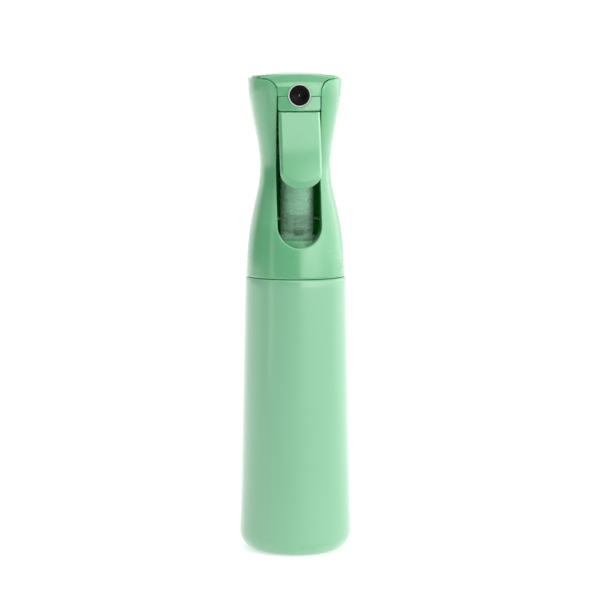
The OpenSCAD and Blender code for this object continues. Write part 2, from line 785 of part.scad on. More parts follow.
// Side view outline of the cover drawn in by d: [y, z]
module cover_side(d) {
    top = rim_z + crown;
    y_front = front_y + d;
    polygon(concat(
        [[40, apron_z - (d > 0 ? 5 : 0)], [y_front, apron_z - (d > 0 ? 5 : 0)], [y_front, nozzle_z + 4.3 - d / 2],
         [y_front + 1.2, nozzle_z + 6.6 - d], [y_front + 4.5, rim_z + 0.6 - d]],
        [for (i = [1 : 12]) let (y = -14.5 + 54.5 * i / 12)
            [y, top - d - crown_long_r + sqrt(pow(crown_long_r, 2) - pow(y - lean, 2))]]
    ));
}

// Front view outline of the cover drawn in by d: [x, z]
module cover_front(d) {
    polygon(concat(
        [[-30, apron_z - 10]],
        [for (i = [0 : 10]) let (x = -30 + 6 * i)
            [x, rim_z + crown - d - crown_side_r + sqrt(pow(crown_side_r, 2) - x * x)]],
        [[30, apron_z - 10]]
    ));
}

// The cover's solid drawn in by d: a lid inside the shell and an apron that fills the slot's top
module cover_body(d) {
    low = share(apron_z - 6);
    high = share(rim_z + crown + 1);
    intersection() {
        rotate([90, 0, 90]) linear_extrude(100, center = true) cover_side(d);
        along_y(-40, 50) cover_front(d);
        union() {
            head_body(head_wall + cover_gap + d, share(cover_z - (d > 0 ? 1 : 0)), high, 3);
            intersection() {
                along_y(-40, apron_back_y) slot_outline(-cover_gap - d);
                translate([0, 0, apron_z - 6]) linear_extrude(30) front_plan(30, front_y + d, 0);
                head_body(d - 0.5, low, high, 8);
            }
        }
    }
}

module top_cover() {
    color(mint) resize([0, 0, 0]) difference() {
        cover_body(0);
        cover_body(cover_t);
        rod_y(collar_r + 0.1, front_y - 3, apron_back_y + 1);
    }
}

bottle();
neck_gasket();
closure_ring();
neck_plug();
vent_valve();
dip_tube();
barrel_body();
buffer_piston();
buffer_seal();
buffer_spring();
manifold();
manifold_o_ring();
outlet_poppet();
outlet_spring();
valve_cap();
plunger();
plunger_seal();
pump_cup();
cup_seal();
inlet_ball();
ball_retainer();
pump_spring();
nozzle_block();
nozzle_collar();
nozzle_tip();
spin_core();
nozzle_o_ring();
pivot_pin();
trigger();
head_shell();
top_cover();
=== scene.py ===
"""Hand mister: the finished surfaces of a refillable spray bottle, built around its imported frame.

Lengths inside the builders are millimetres; meshes are scaled to metres when they are made.
+Z is up along the bottle's axis and the nozzle points to -Y.
"""
import json
from math import acos, asin, atan2, cos, pi, radians, sin, sqrt, tan

import bmesh
import bpy
from bpy.props import FloatProperty, FloatVectorProperty, IntProperty, PointerProperty
from bpy.types import Operator, Panel, PropertyGroup
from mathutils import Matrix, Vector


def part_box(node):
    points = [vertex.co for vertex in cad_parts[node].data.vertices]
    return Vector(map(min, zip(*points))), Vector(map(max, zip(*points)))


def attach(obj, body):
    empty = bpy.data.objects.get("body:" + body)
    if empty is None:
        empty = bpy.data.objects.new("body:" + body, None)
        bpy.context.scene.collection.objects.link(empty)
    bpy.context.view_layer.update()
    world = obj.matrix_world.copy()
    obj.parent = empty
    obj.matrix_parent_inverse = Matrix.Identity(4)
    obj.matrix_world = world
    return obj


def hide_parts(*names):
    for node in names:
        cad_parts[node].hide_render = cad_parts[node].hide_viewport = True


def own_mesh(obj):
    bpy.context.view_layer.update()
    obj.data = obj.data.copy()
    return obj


bl_info = {
    "name": "Hand Mister",
    "version": (1, 0, 0),
    "blender": (4, 5, 0),
    "location": "View3D > Sidebar > Hand Mister",
    "description": "Builds the finished pieces and finishes of a hand mister around its frame",
    "category": "Object",
}

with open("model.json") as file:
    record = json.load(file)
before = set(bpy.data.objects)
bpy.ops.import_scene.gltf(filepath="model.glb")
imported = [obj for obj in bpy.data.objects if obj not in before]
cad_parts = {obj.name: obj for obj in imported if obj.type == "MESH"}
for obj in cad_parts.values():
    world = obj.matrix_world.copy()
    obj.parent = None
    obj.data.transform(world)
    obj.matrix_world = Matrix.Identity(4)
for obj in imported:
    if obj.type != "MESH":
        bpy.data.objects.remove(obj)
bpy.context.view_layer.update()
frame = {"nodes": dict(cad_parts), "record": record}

MM = 0.001
MERGE = 2e-6  # points nearer than this become one, in metres


def box_mm(node):
    """Lowest and highest corner of a node of the frame, in millimetres."""
    low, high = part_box(node)
    return low / MM, high / MM


# ---- Where the pieces are, from the frame ----

BOTTLE_HIGH = box_mm("bottle")[1]
SHELL_LOW, SHELL_HIGH = box_mm("head_shell")
COVER_LOW, COVER_HIGH = box_mm("top_cover")
BLOCK_LOW, BLOCK_HIGH = box_mm("nozzle_block")
COLLAR_LOW, COLLAR_HIGH = box_mm("nozzle_collar")
TIP_LOW, TIP_HIGH = box_mm("nozzle_tip")
TRIGGER_LOW, TRIGGER_HIGH = box_mm("trigger")
PISTON_LOW, PISTON_HIGH = box_mm("buffer_piston")

BASE_R = BOTTLE_HIGH.x
LIP_Z = BOTTLE_HIGH.z
SHELL_Z = SHELL_LOW.z
RIM_Z = SHELL_HIGH.z
HEAD_R = SHELL_HIGH.x
SEAM_Z = SHELL_Z - 0.2
TOP_R = HEAD_R + 0.3
COLLAR_R = COLLAR_HIGH.x
NOZZLE_Z = (COLLAR_LOW.z + COLLAR_HIGH.z) / 2
FRONT_Y = BLOCK_LOW.y
APRON_Z = COVER_LOW.z
CROWN_Z = COVER_HIGH.z
TRIGGER_HALF = TRIGGER_HIGH.x
BLADE_TOP = NOZZLE_Z - 8.3
BLADE_H = BLADE_TOP - TRIGGER_LOW.z
PIVOT_Y, PIVOT_Z = -13.5, NOZZLE_Z - 12.2
BUFFER_Y, PUMP_Y = -5.5, 9.5
PEG_Y = PUMP_Y
SLOT_HALF = TRIGGER_HALF + 0.8
SLOT_LOW_Z = SHELL_Z + 15.5 + SLOT_HALF
WING_R = 6.3
WING_X = SLOT_HALF + WING_R
WING_Z = RIM_Z - 1 - WING_R
LEAN = 4
BOW_R = 44

# Head section by height: share, then how far width, front and back lie inside the seam radius
STATIONS = (
    (0, 0, 0, 0), (0.131, 0.80, 0.85, 0.75), (0.250, 2.35, 2.75, 1.95), (0.368, 4.75, 5.75, 3.85),
    (0.467, 6.95, 7.85, 5.45), (0.546, 7.55, 8.75, 5.95), (0.645, 6.70, 8.35, 4.95),
    (0.783, 4.20, 6.95, 1.95), (0.901, 2.25, 5.45, -1.45), (1, 1.60, 4.95, -2.95),
)


# ---- Sizes and colours that a user may change ----

def length_prop(name, description, default):
    """A length in metres from a size in millimetres."""
    return FloatProperty(name=name, description=description, default=default * MM, min=0,
                         precision=5, unit="LENGTH", subtype="DISTANCE")


def colour_prop(name, description, default):
    """A linear colour."""
    return FloatVectorProperty(name=name, description=description, default=default, size=3,
                               min=0, max=1, subtype="COLOR")


class MisterSizes(PropertyGroup):
    """Sizes of the visible pieces."""
    shell_wall: length_prop("Shell wall", "Wall of the head shell", 1.8)
    slot_wall: length_prop("Slot wall", "Wall beside the trigger slot", 1.4)
    lip_round: length_prop("Lip rounding", "Rounding of the head shell's edges", 0.75)
    cover_wall: length_prop("Cover wall", "Wall of the top cover", 1.8)
    cover_gap: length_prop("Cover gap", "Gap between the cover and the shell", 0.2)
    bottle_wall: length_prop("Bottle wall", "Wall of the bottle", 1.2)
    blade_bevel: length_prop("Blade bevel", "Width of the bevel along the trigger's sides", 1.1)
    blade_tip_bevel: length_prop("Tip bevel", "Height of the bevel at the trigger's tip", 3.4)
    blade_crown: length_prop("Blade crown", "How much the trigger's face bows across", 0.35)
    buffer_turns: IntProperty(name="Buffer turns", description="Turns of the buffer spring", default=10, min=4)
    pump_turns: IntProperty(name="Pump turns", description="Turns of the pump spring", default=7, min=4)
    outlet_turns: IntProperty(name="Outlet turns", description="Turns of the outlet spring", default=6, min=4)
    key_fins: IntProperty(name="Key fins", description="Fins that key the shell to its closure", default=6, min=3)


class MisterColours(PropertyGroup):
    """Colours of the moulded parts."""
    head: colour_prop("Head", "Moulded colour of the head", (0.120, 0.400, 0.196))
    bottle: colour_prop("Bottle", "Moulded colour of the bottle", (0.180, 0.430, 0.255))
    frosted: colour_prop("Barrel", "Colour of the frosted barrel", (0.56, 0.86, 0.68))
    clear: colour_prop("Tube", "Colour of the dip tube", (0.82, 0.86, 0.85))
    white: colour_prop("White parts", "Moulded colour of the pump parts", (0.86, 0.86, 0.85))
    black: colour_prop("Nozzle insert", "Moulded colour of the nozzle insert", (0.004, 0.0035, 0.004))
    rubber: colour_prop("Seals", "Colour of the seals", (0.05, 0.053, 0.056))
    steel: colour_prop("Springs", "Colour of the spring wire", (0.56, 0.57, 0.59))


class MisterStudio(PropertyGroup):
    """Light and view."""
    key: FloatProperty(name="Key light", description="Radiance of the white wall at the right", default=3.2, min=0)
    sky: FloatProperty(name="Ceiling", description="Radiance of the white ceiling", default=0.45, min=0)
    top: FloatProperty(name="Top light", description="Radiance of the light overhead", default=2.1, min=0)
    fill: FloatProperty(name="Fill light", description="Radiance of the narrow light at the left", default=0.8, min=0)
    room: FloatProperty(name="Room light", description="Strength of the room in front", default=0.14, min=0)
    distance: FloatProperty(name="Camera distance", description="From the bottle's axis", default=1.103, min=0.3,
                            unit="LENGTH", subtype="DISTANCE")
    height: FloatProperty(name="Camera height", description="Height of the camera", default=0.240, min=0,
                          unit="LENGTH", subtype="DISTANCE")
    turn: FloatProperty(name="Camera turn", description="Turn of the camera around the bottle",
                        default=radians(-5.9), unit="ROTATION", subtype="ANGLE")
    tilt: FloatProperty(name="Camera tilt", description="How far the camera looks down",
                        default=radians(5.75), unit="ROTATION", subtype="ANGLE")
    lens: FloatProperty(name="Lens", description="Focal length in millimetres", default=129.4, min=20)


def sizes():
    return bpy.context.scene.mister_sizes


def colours():
    return bpy.context.scene.mister_colours


# ---- Node building ----

class Wire:
    """A node socket that can be used in arithmetic."""

    def __init__(self, nodes, socket):
        self.nodes, self.socket = nodes, socket

    def _math(self, operation, a, b=None):
        return self.nodes.add("ShaderNodeMath", {"operation": operation}, {0: a, **({} if b is None else {1: b})})

    def __add__(self, other):
        return self._math("ADD", self, other)

    __radd__ = __add__

    def __sub__(self, other):
        return self._math("SUBTRACT", self, other)

    def __rsub__(self, other):
        return self._math("SUBTRACT", other, self)

    def __mul__(self, other):
        return self._math("MULTIPLY", self, other)

    __rmul__ = __mul__

    def __truediv__(self, other):
        return self._math("DIVIDE", self, other)

    def __rtruediv__(self, other):
        return self._math("DIVIDE", other, self)

    def __abs__(self):
        return self._math("ABSOLUTE", self)

    def apply(self, operation, other=None):
        return self._math(operation, self, other)


class Nodes:
    """Adds nodes to a tree: type, settings first, then values or links of the sockets."""

    def __init__(self, tree):
        self.tree = tree

    def add(self, kind, settings=None, sockets=None, out=0):
        node = self.tree.nodes.new(kind)
        for key, value in (settings or {}).items():
            setattr(node, key, value)
        for key, value in (sockets or {}).items():
            target = node.inputs[key]
            if isinstance(value, Wire):
                self.tree.links.new(value.socket, target)
            else:
                target.default_value = value
        return Wire(self, node.outputs[out]) if node.outputs else None

    def axes(self, place):
        """The X, Y and Z of a place."""
        parts = self.add("ShaderNodeSeparateXYZ", None, {0: place})
        return [Wire(self, part) for part in parts.socket.node.outputs]

    def rise(self, value, start, width):
        """From 0 to 1, smoothly, as a value goes from start over a width."""
        return self.add("ShaderNodeMapRange", {"interpolation_type": "SMOOTHSTEP"},
                        {"Value": value, "From Min": start, "From Max": start + width})

    def mix(self, factor, a, b):
        """A colour between a and b."""
        return self.add("ShaderNodeMix", {"data_type": "RGBA"}, {0: factor, 6: a, 7: b}, out=2)


def cleared(owner):
    """Nodes for the emptied tree of a material or a world."""
    owner.use_nodes = True
    owner.node_tree.nodes.clear()
    return Nodes(owner.node_tree)


def rgba(colour, gain=1.0):
    return (*[min(1.0, c * gain) for c in colour], 1.0)


def finish_material(name, colour, roughness, shade=0.06, rough_play=0.05, grain=0.02, waves=0.0,
                    fixed=None, extra=None):
    """A moulded or drawn finish: slow colour drift, uneven gloss, fine grain and slow waviness in the surface."""
    material = bpy.data.materials.new(name)
    n = cleared(material)
    place = n.add("ShaderNodeTexCoord", out=3)
    cloud = n.add("ShaderNodeTexNoise", None, {"Vector": place, "Scale": 38.0, "Detail": 3.0})
    speck = n.add("ShaderNodeTexNoise", None, {"Vector": place, "Scale": 420.0, "Detail": 4.0})
    fine = n.add("ShaderNodeTexNoise", None, {"Vector": place, "Scale": 900.0, "Detail": 5.0})
    slow = n.add("ShaderNodeTexNoise", None, {"Vector": place, "Scale": 55.0, "Detail": 1.0})
    drift = cloud * 0.7 + speck * 0.3
    base = n.mix(drift, rgba(colour, 1 - shade), rgba(colour, 1 + shade))
    height = fine * grain + slow * waves
    rough = (speck - 0.5) * rough_play * 2 + (cloud - 0.5) * rough_play * 2 + roughness
    if extra:
        base, rough, height = extra(n, place, base, rough, height)
    bump = n.add("ShaderNodeBump", None, {"Height": height, "Strength": 0.5, "Distance": 0.0004})
    sockets = {"Base Color": base, "Roughness": rough, "Normal": bump}
    sockets.update(fixed or {})
    shader = n.add("ShaderNodeBsdfPrincipled", None, sockets)
    n.add("ShaderNodeOutputMaterial", None, {"Surface": shader})
    return material


def parting_line(n, place, base, rough, height):
    """The fine raised line that the two halves of the mould leave along both sides, and rub marks low down."""
    line_half, wear_height = 0.0004, 0.012
    _, y, z = n.axes(place)
    line = (1 - abs(y) / line_half).apply("MAXIMUM", 0.0)
    scuff = n.add("ShaderNodeTexNoise", None, {"Vector": place, "Scale": 260.0, "Detail": 6.0})
    low = (1 - z / wear_height).apply("MAXIMUM", 0.0)
    wear = (scuff - 0.5).apply("MAXIMUM", 0.0) * low * 0.7
    return n.mix(wear, base, (0.62, 0.80, 0.70, 1)), rough + wear * 0.4, height + line * 0.05


def drawn_wire(n, place, base, rough, height):
    """Fine drawing marks along the wire."""
    marks = n.add("ShaderNodeTexWave", {"wave_type": "BANDS", "bands_direction": "Z"},
                  {"Vector": place, "Scale": 900.0, "Distortion": 3.0})
    return base, rough + marks * 0.08, height + marks * 0.05


def flow_lines(n, place, base, rough, height):
    """Faint rings that the moulding leaves around a barrel."""
    rings = n.add("ShaderNodeTexWave", {"wave_type": "BANDS", "bands_direction": "Z"},
                  {"Vector": place, "Scale": 60.0, "Distortion": 0.3})
    return n.mix(rings * 0.08, base, (0.4, 0.5, 0.44, 1)), rough + rings * 0.04, height


FINISHES = {}


def make_finishes():
    """All materials by the name of their slot."""
    c = colours()
    even = {"shade": 0.02, "rough_play": 0.02, "grain": 0.006}
    gloss = {"Coat Weight": 1.0, "Coat Roughness": 0.11, "IOR": 1.5, "Specular IOR Level": 0.5}
    thin = {"Subsurface Weight": 0.6, "Subsurface Radius": (0.3, 1.0, 0.5), "Subsurface Scale": 0.004}
    FINISHES.update({
        "mint_plastic": finish_material("mint_moulded", c.head, 0.26, waves=0.01, fixed={**gloss, **thin}, **even),
        # The nozzle's collar: the head's colour made paler, a painted highlight on a rim of the same green plastic.
        "pale_rim": finish_material("nozzle_rim_painted_highlight", [v * 0.45 + 0.35 for v in c.head], 0.2, fixed=gloss, **even),
        "bottle_plastic": finish_material("bottle_moulded", c.bottle, 0.30, waves=0.02, fixed=gloss,
                                          extra=parting_line, **even),
        "frosted_plastic": finish_material("frosted_barrel", c.frosted, 0.24, grain=0.0, extra=flow_lines,
                                           fixed={"Transmission Weight": 0.75, "IOR": 1.2}),
        "clear_plastic": finish_material("clear_tube", c.clear, 0.16, grain=0.02,
                                         fixed={"Transmission Weight": 0.85, "IOR": 1.3}),
        "white_plastic": finish_material("white_acetal", c.white, 0.38, grain=0.05, extra=flow_lines),
        "black_plastic": finish_material("black_insert", c.black, 0.16, shade=0.2, grain=0.01,
                                         fixed={"Coat Weight": 0.04, "Coat Roughness": 0.05,
                                                "Specular IOR Level": 0.04}),
        "seal_rubber": finish_material("seal_rubber_matt", c.rubber, 0.62, shade=0.12, grain=0.12),
        "spring_steel": finish_material("spring_wire", c.steel, 0.24, grain=0.02, extra=drawn_wire,
                                        fixed={"Metallic": 1.0}),
    })


# ---- Mesh building ----

def placed(name, data):
    """A new object in the scene, at the origin."""
    obj = bpy.data.objects.new(name, data)
    bpy.context.scene.collection.objects.link(obj)
    return obj


def new_object(name, vertices, faces, slot, angle=38):
    """A smooth mesh object from millimetre points, with outward faces."""
    mesh = bpy.data.meshes.new(name)
    mesh.from_pydata([(x * MM, y * MM, z * MM) for x, y, z in vertices], [], faces)
    bm = bmesh.new()
    bm.from_mesh(mesh)
    bmesh.ops.remove_doubles(bm, verts=bm.verts, dist=MERGE)
    bmesh.ops.dissolve_degenerate(bm, edges=bm.edges, dist=1e-7)
    bmesh.ops.recalc_face_normals(bm, faces=bm.faces)
    bm.to_mesh(mesh)
    bm.free()
    obj = placed(name, mesh)
    mesh.materials.append(FINISHES[slot])
    shade(obj, angle)
    return obj


def shade(obj, angle=38):
    """Smooth shading that keeps real edges sharp."""
    for polygon in obj.data.polygons:
        polygon.use_smooth = True
    obj.data.set_sharp_from_angle(angle=radians(angle))


def bake(obj, angle=38):
    """Applies the object's modifiers to its mesh."""
    bpy.context.view_layer.update()
    mesh = bpy.data.meshes.new_from_object(obj.evaluated_get(bpy.context.evaluated_depsgraph_get()))
    obj.modifiers.clear()
    old, obj.data = obj.data, mesh
    bpy.data.meshes.remove(old)
    mesh.name = obj.name
    shade(obj, angle)
    return obj


def bevel(obj, width, segments=3, angle=40):
    """Rounds the object's edges, width in millimetres."""
    m = obj.modifiers.new("round", "BEVEL")
    m.width, m.segments, m.limit_method, m.angle_limit = width * MM, segments, "ANGLE", radians(angle)
    return bake(obj)


def even_normals(obj):
    """Keeps large faces flat beside small roundings."""
    m = obj.modifiers.new("even", "WEIGHTED_NORMAL")
    m.keep_sharp, m.weight = True, 80


def settle(obj, body, slot, *nodes):
    """Hangs a finished piece on the empty of its body and hides the frame's nodes that it stands for."""
    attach(obj, body)
    if nodes:
        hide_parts(*nodes)
    return obj


def mirrored(points, faces):
    """Points and faces of a right half together with its mirror image."""
    count = len(points)
    return (points + [(-x, y, z) for x, y, z in points],
            faces + [tuple(i + count for i in reversed(f)) for f in faces])


def grid_faces(rows, columns, start=0, flip=False):
    """Faces of a grid of points stored row by row."""
    faces = []
    for i in range(rows - 1):
        for j in range(columns - 1):
            a = start + i * columns + j
            quad = (a, a + 1, a + columns + 1, a + columns)
            faces.append(quad[::-1] if flip else quad)
    return faces


def fillet(points, steps=5):
    """A line through (x, y, radius) corners, each rounded to its radius. The ends stay as they are."""
    out = [points[0][:2]]
    for (ax, ay, _), (bx, by, r), (cx, cy, _) in zip(points, points[1:], points[2:]):
        ux, uy, vx, vy = ax - bx, ay - by, cx - bx, cy - by
        lu, lv = sqrt(ux * ux + uy * uy), sqrt(vx * vx + vy * vy)
        dot = max(-1.0, min(1.0, (ux * vx + uy * vy) / (lu * lv)))
        half = acos(dot) / 2
        if r <= 0 or half > pi / 2 - 0.01:
            out.append((bx, by))
            continue
        d = min(r / tan(half), lu * 0.49, lv * 0.49)
        p, q = (bx + ux / lu * d, by + uy / lu * d), (bx + vx / lv * d, by + vy / lv * d)
        for k in range(steps + 1):
            t = k / steps
            w = (1 - t) ** 2, 2 * t * (1 - t), t * t
            out.append((w[0] * p[0] + w[1] * bx + w[2] * q[0], w[0] * p[1] + w[1] * by + w[2] * q[1]))
    out.append(points[-1][:2])
    return out


def ring_profile(points, steps=5):
    """A closed outline of rounded corners."""
    middle = ((points[0][0] + points[-1][0]) / 2, (points[0][1] + points[-1][1]) / 2, 0)
    return fillet([middle, *points, middle], steps)[:-1]


def lathe(name, outline, slot, centre=(0, 0), along="Z", segments=128):
    """A closed outline of (radius, place) turned around an axis."""
    vertices, faces, m = [], [], len(outline)
    for k in range(segments):
        a = 2 * pi * k / segments
        for r, z in outline:
            r = max(0.0, r)
            x, y = r * cos(a), r * sin(a)
            vertices.append((x + centre[0], y + centre[1], z) if along == "Z" else (x + centre[0], z, y + centre[1]))
    for k in range(segments):
        for j in range(m):
            a, b = k * m + j, k * m + (j + 1) % m
            c, d = ((k + 1) % segments) * m + (j + 1) % m, ((k + 1) % segments) * m + j
            faces.append((a, b, c, d))
    return new_object(name, vertices, faces, slot)


def resample(points, count):
    """count points at even steps along a line of points of any dimension."""
    gaps = [sqrt(sum((b - a) ** 2 for a, b in zip(p, q))) for p, q in zip(points, points[1:])]
    total, out, i, run = sum(gaps), [], 0, 0.0
    for k in range(count):
        want = total * (k / (count - 1))
        while i < len(gaps) - 1 and run + gaps[i] < want:
            run += gaps[i]
            i += 1
        t = min(1.0, max(0.0, (want - run) / gaps[i])) if gaps[i] else 0.0
        out.append(tuple(a + (b - a) * t for a, b in zip(points[i], points[i + 1])))
    return out


def between(a, b, t):
    return tuple(p + (q - p) * t for p, q in zip(a, b))


def smooth(t):
    t = max(0.0, min(1.0, t))
    return t * t * (3 - 2 * t)


# ---- The head's surface ----

def inset(share, column):
    """Smooth value of a column of STATIONS at a share of the head's height."""
    last = len(STATIONS) - 1
    i = 0
    while i < last - 1 and share > STATIONS[i + 1][0]:
        i += 1

    def slope(k):
        a, b = STATIONS[max(0, k - 1)], STATIONS[min(last, k + 1)]
        return (b[column] - a[column]) / (b[0] - a[0])

    p, q = STATIONS[i], STATIONS[i + 1]
    w = q[0] - p[0]
    u = (share - p[0]) / w
    return ((2 * u ** 3 - 3 * u * u + 1) * p[column] + (u ** 3 - 2 * u * u + u) * w * slope(i)
            + (3 * u * u - 2 * u ** 3) * q[column] + (u ** 3 - u * u) * w * slope(i + 1))


def section(z, d):
    """Middle, half width, front, back and squareness of the head at z, drawn in by d."""
    share = max(0.0, min(1.0, (z - SHELL_Z) / (RIM_Z - SHELL_Z)))
    c = LEAN * share
    n = 2 / (2 + 0.15 * min(1.0, 4 * share))
    return (c, HEAD_R - inset(share, 1) - d, HEAD_R - inset(share, 2) - d + c,
            HEAD_R - inset(share, 3) - d - c, n)


def head_point(a, z, d=0.0):
    """Point of the head's surface at the angle a, which is -90 degrees at the front."""
    c, half, front, back, n = section(z, d)
    ca, sa = cos(a), sin(a)
    x = half * (1 if ca >= 0 else -1) * abs(ca) ** n
    y = c + (front if sa < 0 else back) * (1 if sa >= 0 else -1) * abs(sa) ** n
    return (x, y, z)


def head_angle(x, z, d=0.0):
    """Angle at which the front of the head's surface has the place x."""
    _, half, _, _, n = section(z, d)
    return -acos(min(1.0, (x / half)) ** (1 / n))


def head_front(x, z, d=0.0):
    """Y of the head's front surface at x and z."""
    return head_point(head_angle(min(x, section(z, d)[1] * 0.999), z, d), z, d)[1]


LOW_N, CORNER_N, UP_N, SIDE_N, BACK_N, FRONT_BOTTOM_N = 40, 16, 58, 24, 40, 22


def slot_edge(d):
    """Right half of the slot's edge from its lowest point to the end of the wing's corner, widened by d."""
    half = SLOT_HALF + d
    low = [(half * sin(radians(90 * i / LOW_N)), SLOT_LOW_Z - half * cos(radians(90 * i / LOW_N)))
           for i in range(LOW_N + 1)]
    up = [(half, SLOT_LOW_Z + (WING_Z - SLOT_LOW_Z) * i / UP_N) for i in range(1, UP_N + 1)]
    r = WING_R - d
    corner = [(WING_X - r * cos(radians(90 * i / CORNER_N)), WING_Z + r * sin(radians(90 * i / CORNER_N)))
              for i in range(1, CORNER_N + 1)]
    return low, up + corner


def spaced(count):
    """Shares from 0 to 1 that start with a short step."""
    return [0.0] + [0.075 + 0.925 * (k / (count - 1)) ** 1.12 for k in range(count)]


def shell_half(d, slot_d, drop=0.0):
    """Right half of one face of the shell: points, faces and the line of its slot and rim."""
    points, faces, rim, foot = [], [], RIM_Z - drop, SHELL_Z + drop
    low, up = slot_edge(slot_d)
    shares = spaced(SIDE_N)
    columns = len(shares)
    # Front, beside and below the slot
    side_z = []
    outer = [(-pi / 2 + pi / 2 * i / FRONT_BOTTOM_N, foot) for i in range(FRONT_BOTTOM_N + 1)]
    rise = LOW_N - FRONT_BOTTOM_N
    for i in range(1, rise + 1):
        side_z.append(foot + (SLOT_LOW_Z - foot) * i / rise)
        outer.append((0.0, side_z[-1]))
    for i in range(1, len(up) + 1):
        side_z.append(SLOT_LOW_Z + (rim - SLOT_LOW_Z) * i / len(up))
        outer.append((0.0, side_z[-1]))
    inner = low + up
    for (x, z), (oa, oz) in zip(inner, outer):
        ia = head_angle(x, z, d)
        for s in shares:
            points.append(head_point(ia + (oa - ia) * s, z + (oz - z) * s, d))
    faces += grid_faces(len(inner), columns)
    edge = [points[i * columns] for i in range(len(inner))]
    edge += [points[(len(inner) - 1) * columns + k] for k in range(1, columns)]
    # Back
    start = len(points)
    levels = [foot] + side_z
    for z in levels:
        for k in range(BACK_N + 1):
            points.append(head_point(pi / 2 * k / BACK_N, z, d))
    faces += grid_faces(len(levels), BACK_N + 1, start)
    edge += [points[start + (len(levels) - 1) * (BACK_N + 1) + k] for k in range(1, BACK_N + 1)]
    bottom = [points[i * columns + columns - 1] for i in range(FRONT_BOTTOM_N + 1)]
    bottom += [points[start + k] for k in range(1, BACK_N + 1)]
    return points, faces, edge, bottom


def wall_end(x, z):
    """Y where the wall beside the slot ends, clear of the closure and the barrel's foot."""
    closure_reach, closure_top, foot_top, nearest = 17.0, 160.2, 163.2, 8.0
    reach = closure_reach - 3.1 * smooth((z - closure_top) / 0.9) - 6.0 * smooth((z - foot_top) / 1.6)
    return -max(nearest, sqrt(max(0.0, reach * reach - x * x)))


def rounded(a, b, c):
    """Six points that turn from a to c inside the corner b."""
    return [between(between(a, b, k / 5), between(b, c, k / 5), k / 5) for k in range(6)]


def make_shell():
    """The head shell as one closed wall with its slot, slot walls and rounded lips."""
    s = sizes()
    wall, slot_wall, lip = s.shell_wall / MM, s.slot_wall / MM, s.lip_round / MM
    outer, outer_faces, soft_edge, soft_foot = shell_half(0.0, lip, lip)
    _, _, edge, foot = shell_half(0.0, 0.0)
    inner, inner_faces, inner_edge, inner_foot = shell_half(wall, slot_wall)
    points = outer + inner
    faces = outer_faces + [tuple(i + len(outer) for i in reversed(f)) for f in inner_faces]
    start, steps, shallow_z = len(points), 10, 236.0
    for soft, sharp, end in zip(soft_edge, edge, inner_edge):
        deep = 1 - smooth((sharp[2] - shallow_z) / 3.2)
        ye, (x, front, z) = wall_end(sharp[0], sharp[2]), sharp
        turned = between(between(sharp, end, lip / wall), (x, front + lip, z), deep)
        row = rounded(soft, sharp, turned)
        way = ((x, (front + ye) / 2, z), (x, ye, z), (end[0], ye, end[2]), (end[0], (ye + end[1]) / 2, end[2]))
        row += [between(between(turned, end, k / 5), stop, deep) for k, stop in enumerate(way, 1)]
        points += row + [end]
    faces += grid_faces(len(edge), steps + 1, start, flip=True)
    start = len(points)
    for soft, sharp, end in zip(soft_foot, foot, inner_foot):
        points += rounded(soft, sharp, between(sharp, end, lip / wall)) + [end]
    faces += grid_faces(len(foot), 7, start)
    return new_object("head_shell_moulding", *mirrored(points, faces), "mint_plastic")


# ---- The top cover ----

def bow(x):
    """How far the front lies back at x."""
    return BOW_R - sqrt(BOW_R ** 2 - min(abs(x), BOW_R - 1) ** 2)


CROWN_ACROSS_R, CROWN_ALONG_R = 118, 112


def crown_drop(x, y):
    """How far the crown lies below its top."""
    return (CROWN_ACROSS_R - sqrt(CROWN_ACROSS_R ** 2 - x * x)
            + CROWN_ALONG_R - sqrt(CROWN_ALONG_R ** 2 - (y - LEAN) ** 2))


CREASE_Y = FRONT_Y + 6.9
FRONT_PROFILE = fillet([
    (FRONT_Y, APRON_Z - 4, 0), (FRONT_Y, NOZZLE_Z + 4.5, 2.6), (FRONT_Y + 1.3, NOZZLE_Z + 6.7, 3),
    (FRONT_Y + 4.9, RIM_Z + 1.0, 1.6), (CREASE_Y, CROWN_Z - crown_drop(0, CREASE_Y), 0)], 8)


def front_depth(z):
    """Y of the cover's front profile at z, in its middle."""
    for (ya, za), (yb, zb) in zip(FRONT_PROFILE, FRONT_PROFILE[1:]):
        if z <= zb:
            return ya + (yb - ya) * max(0.0, (z - za)) / max(1e-9, zb - za)
    return FRONT_PROFILE[-1][0]


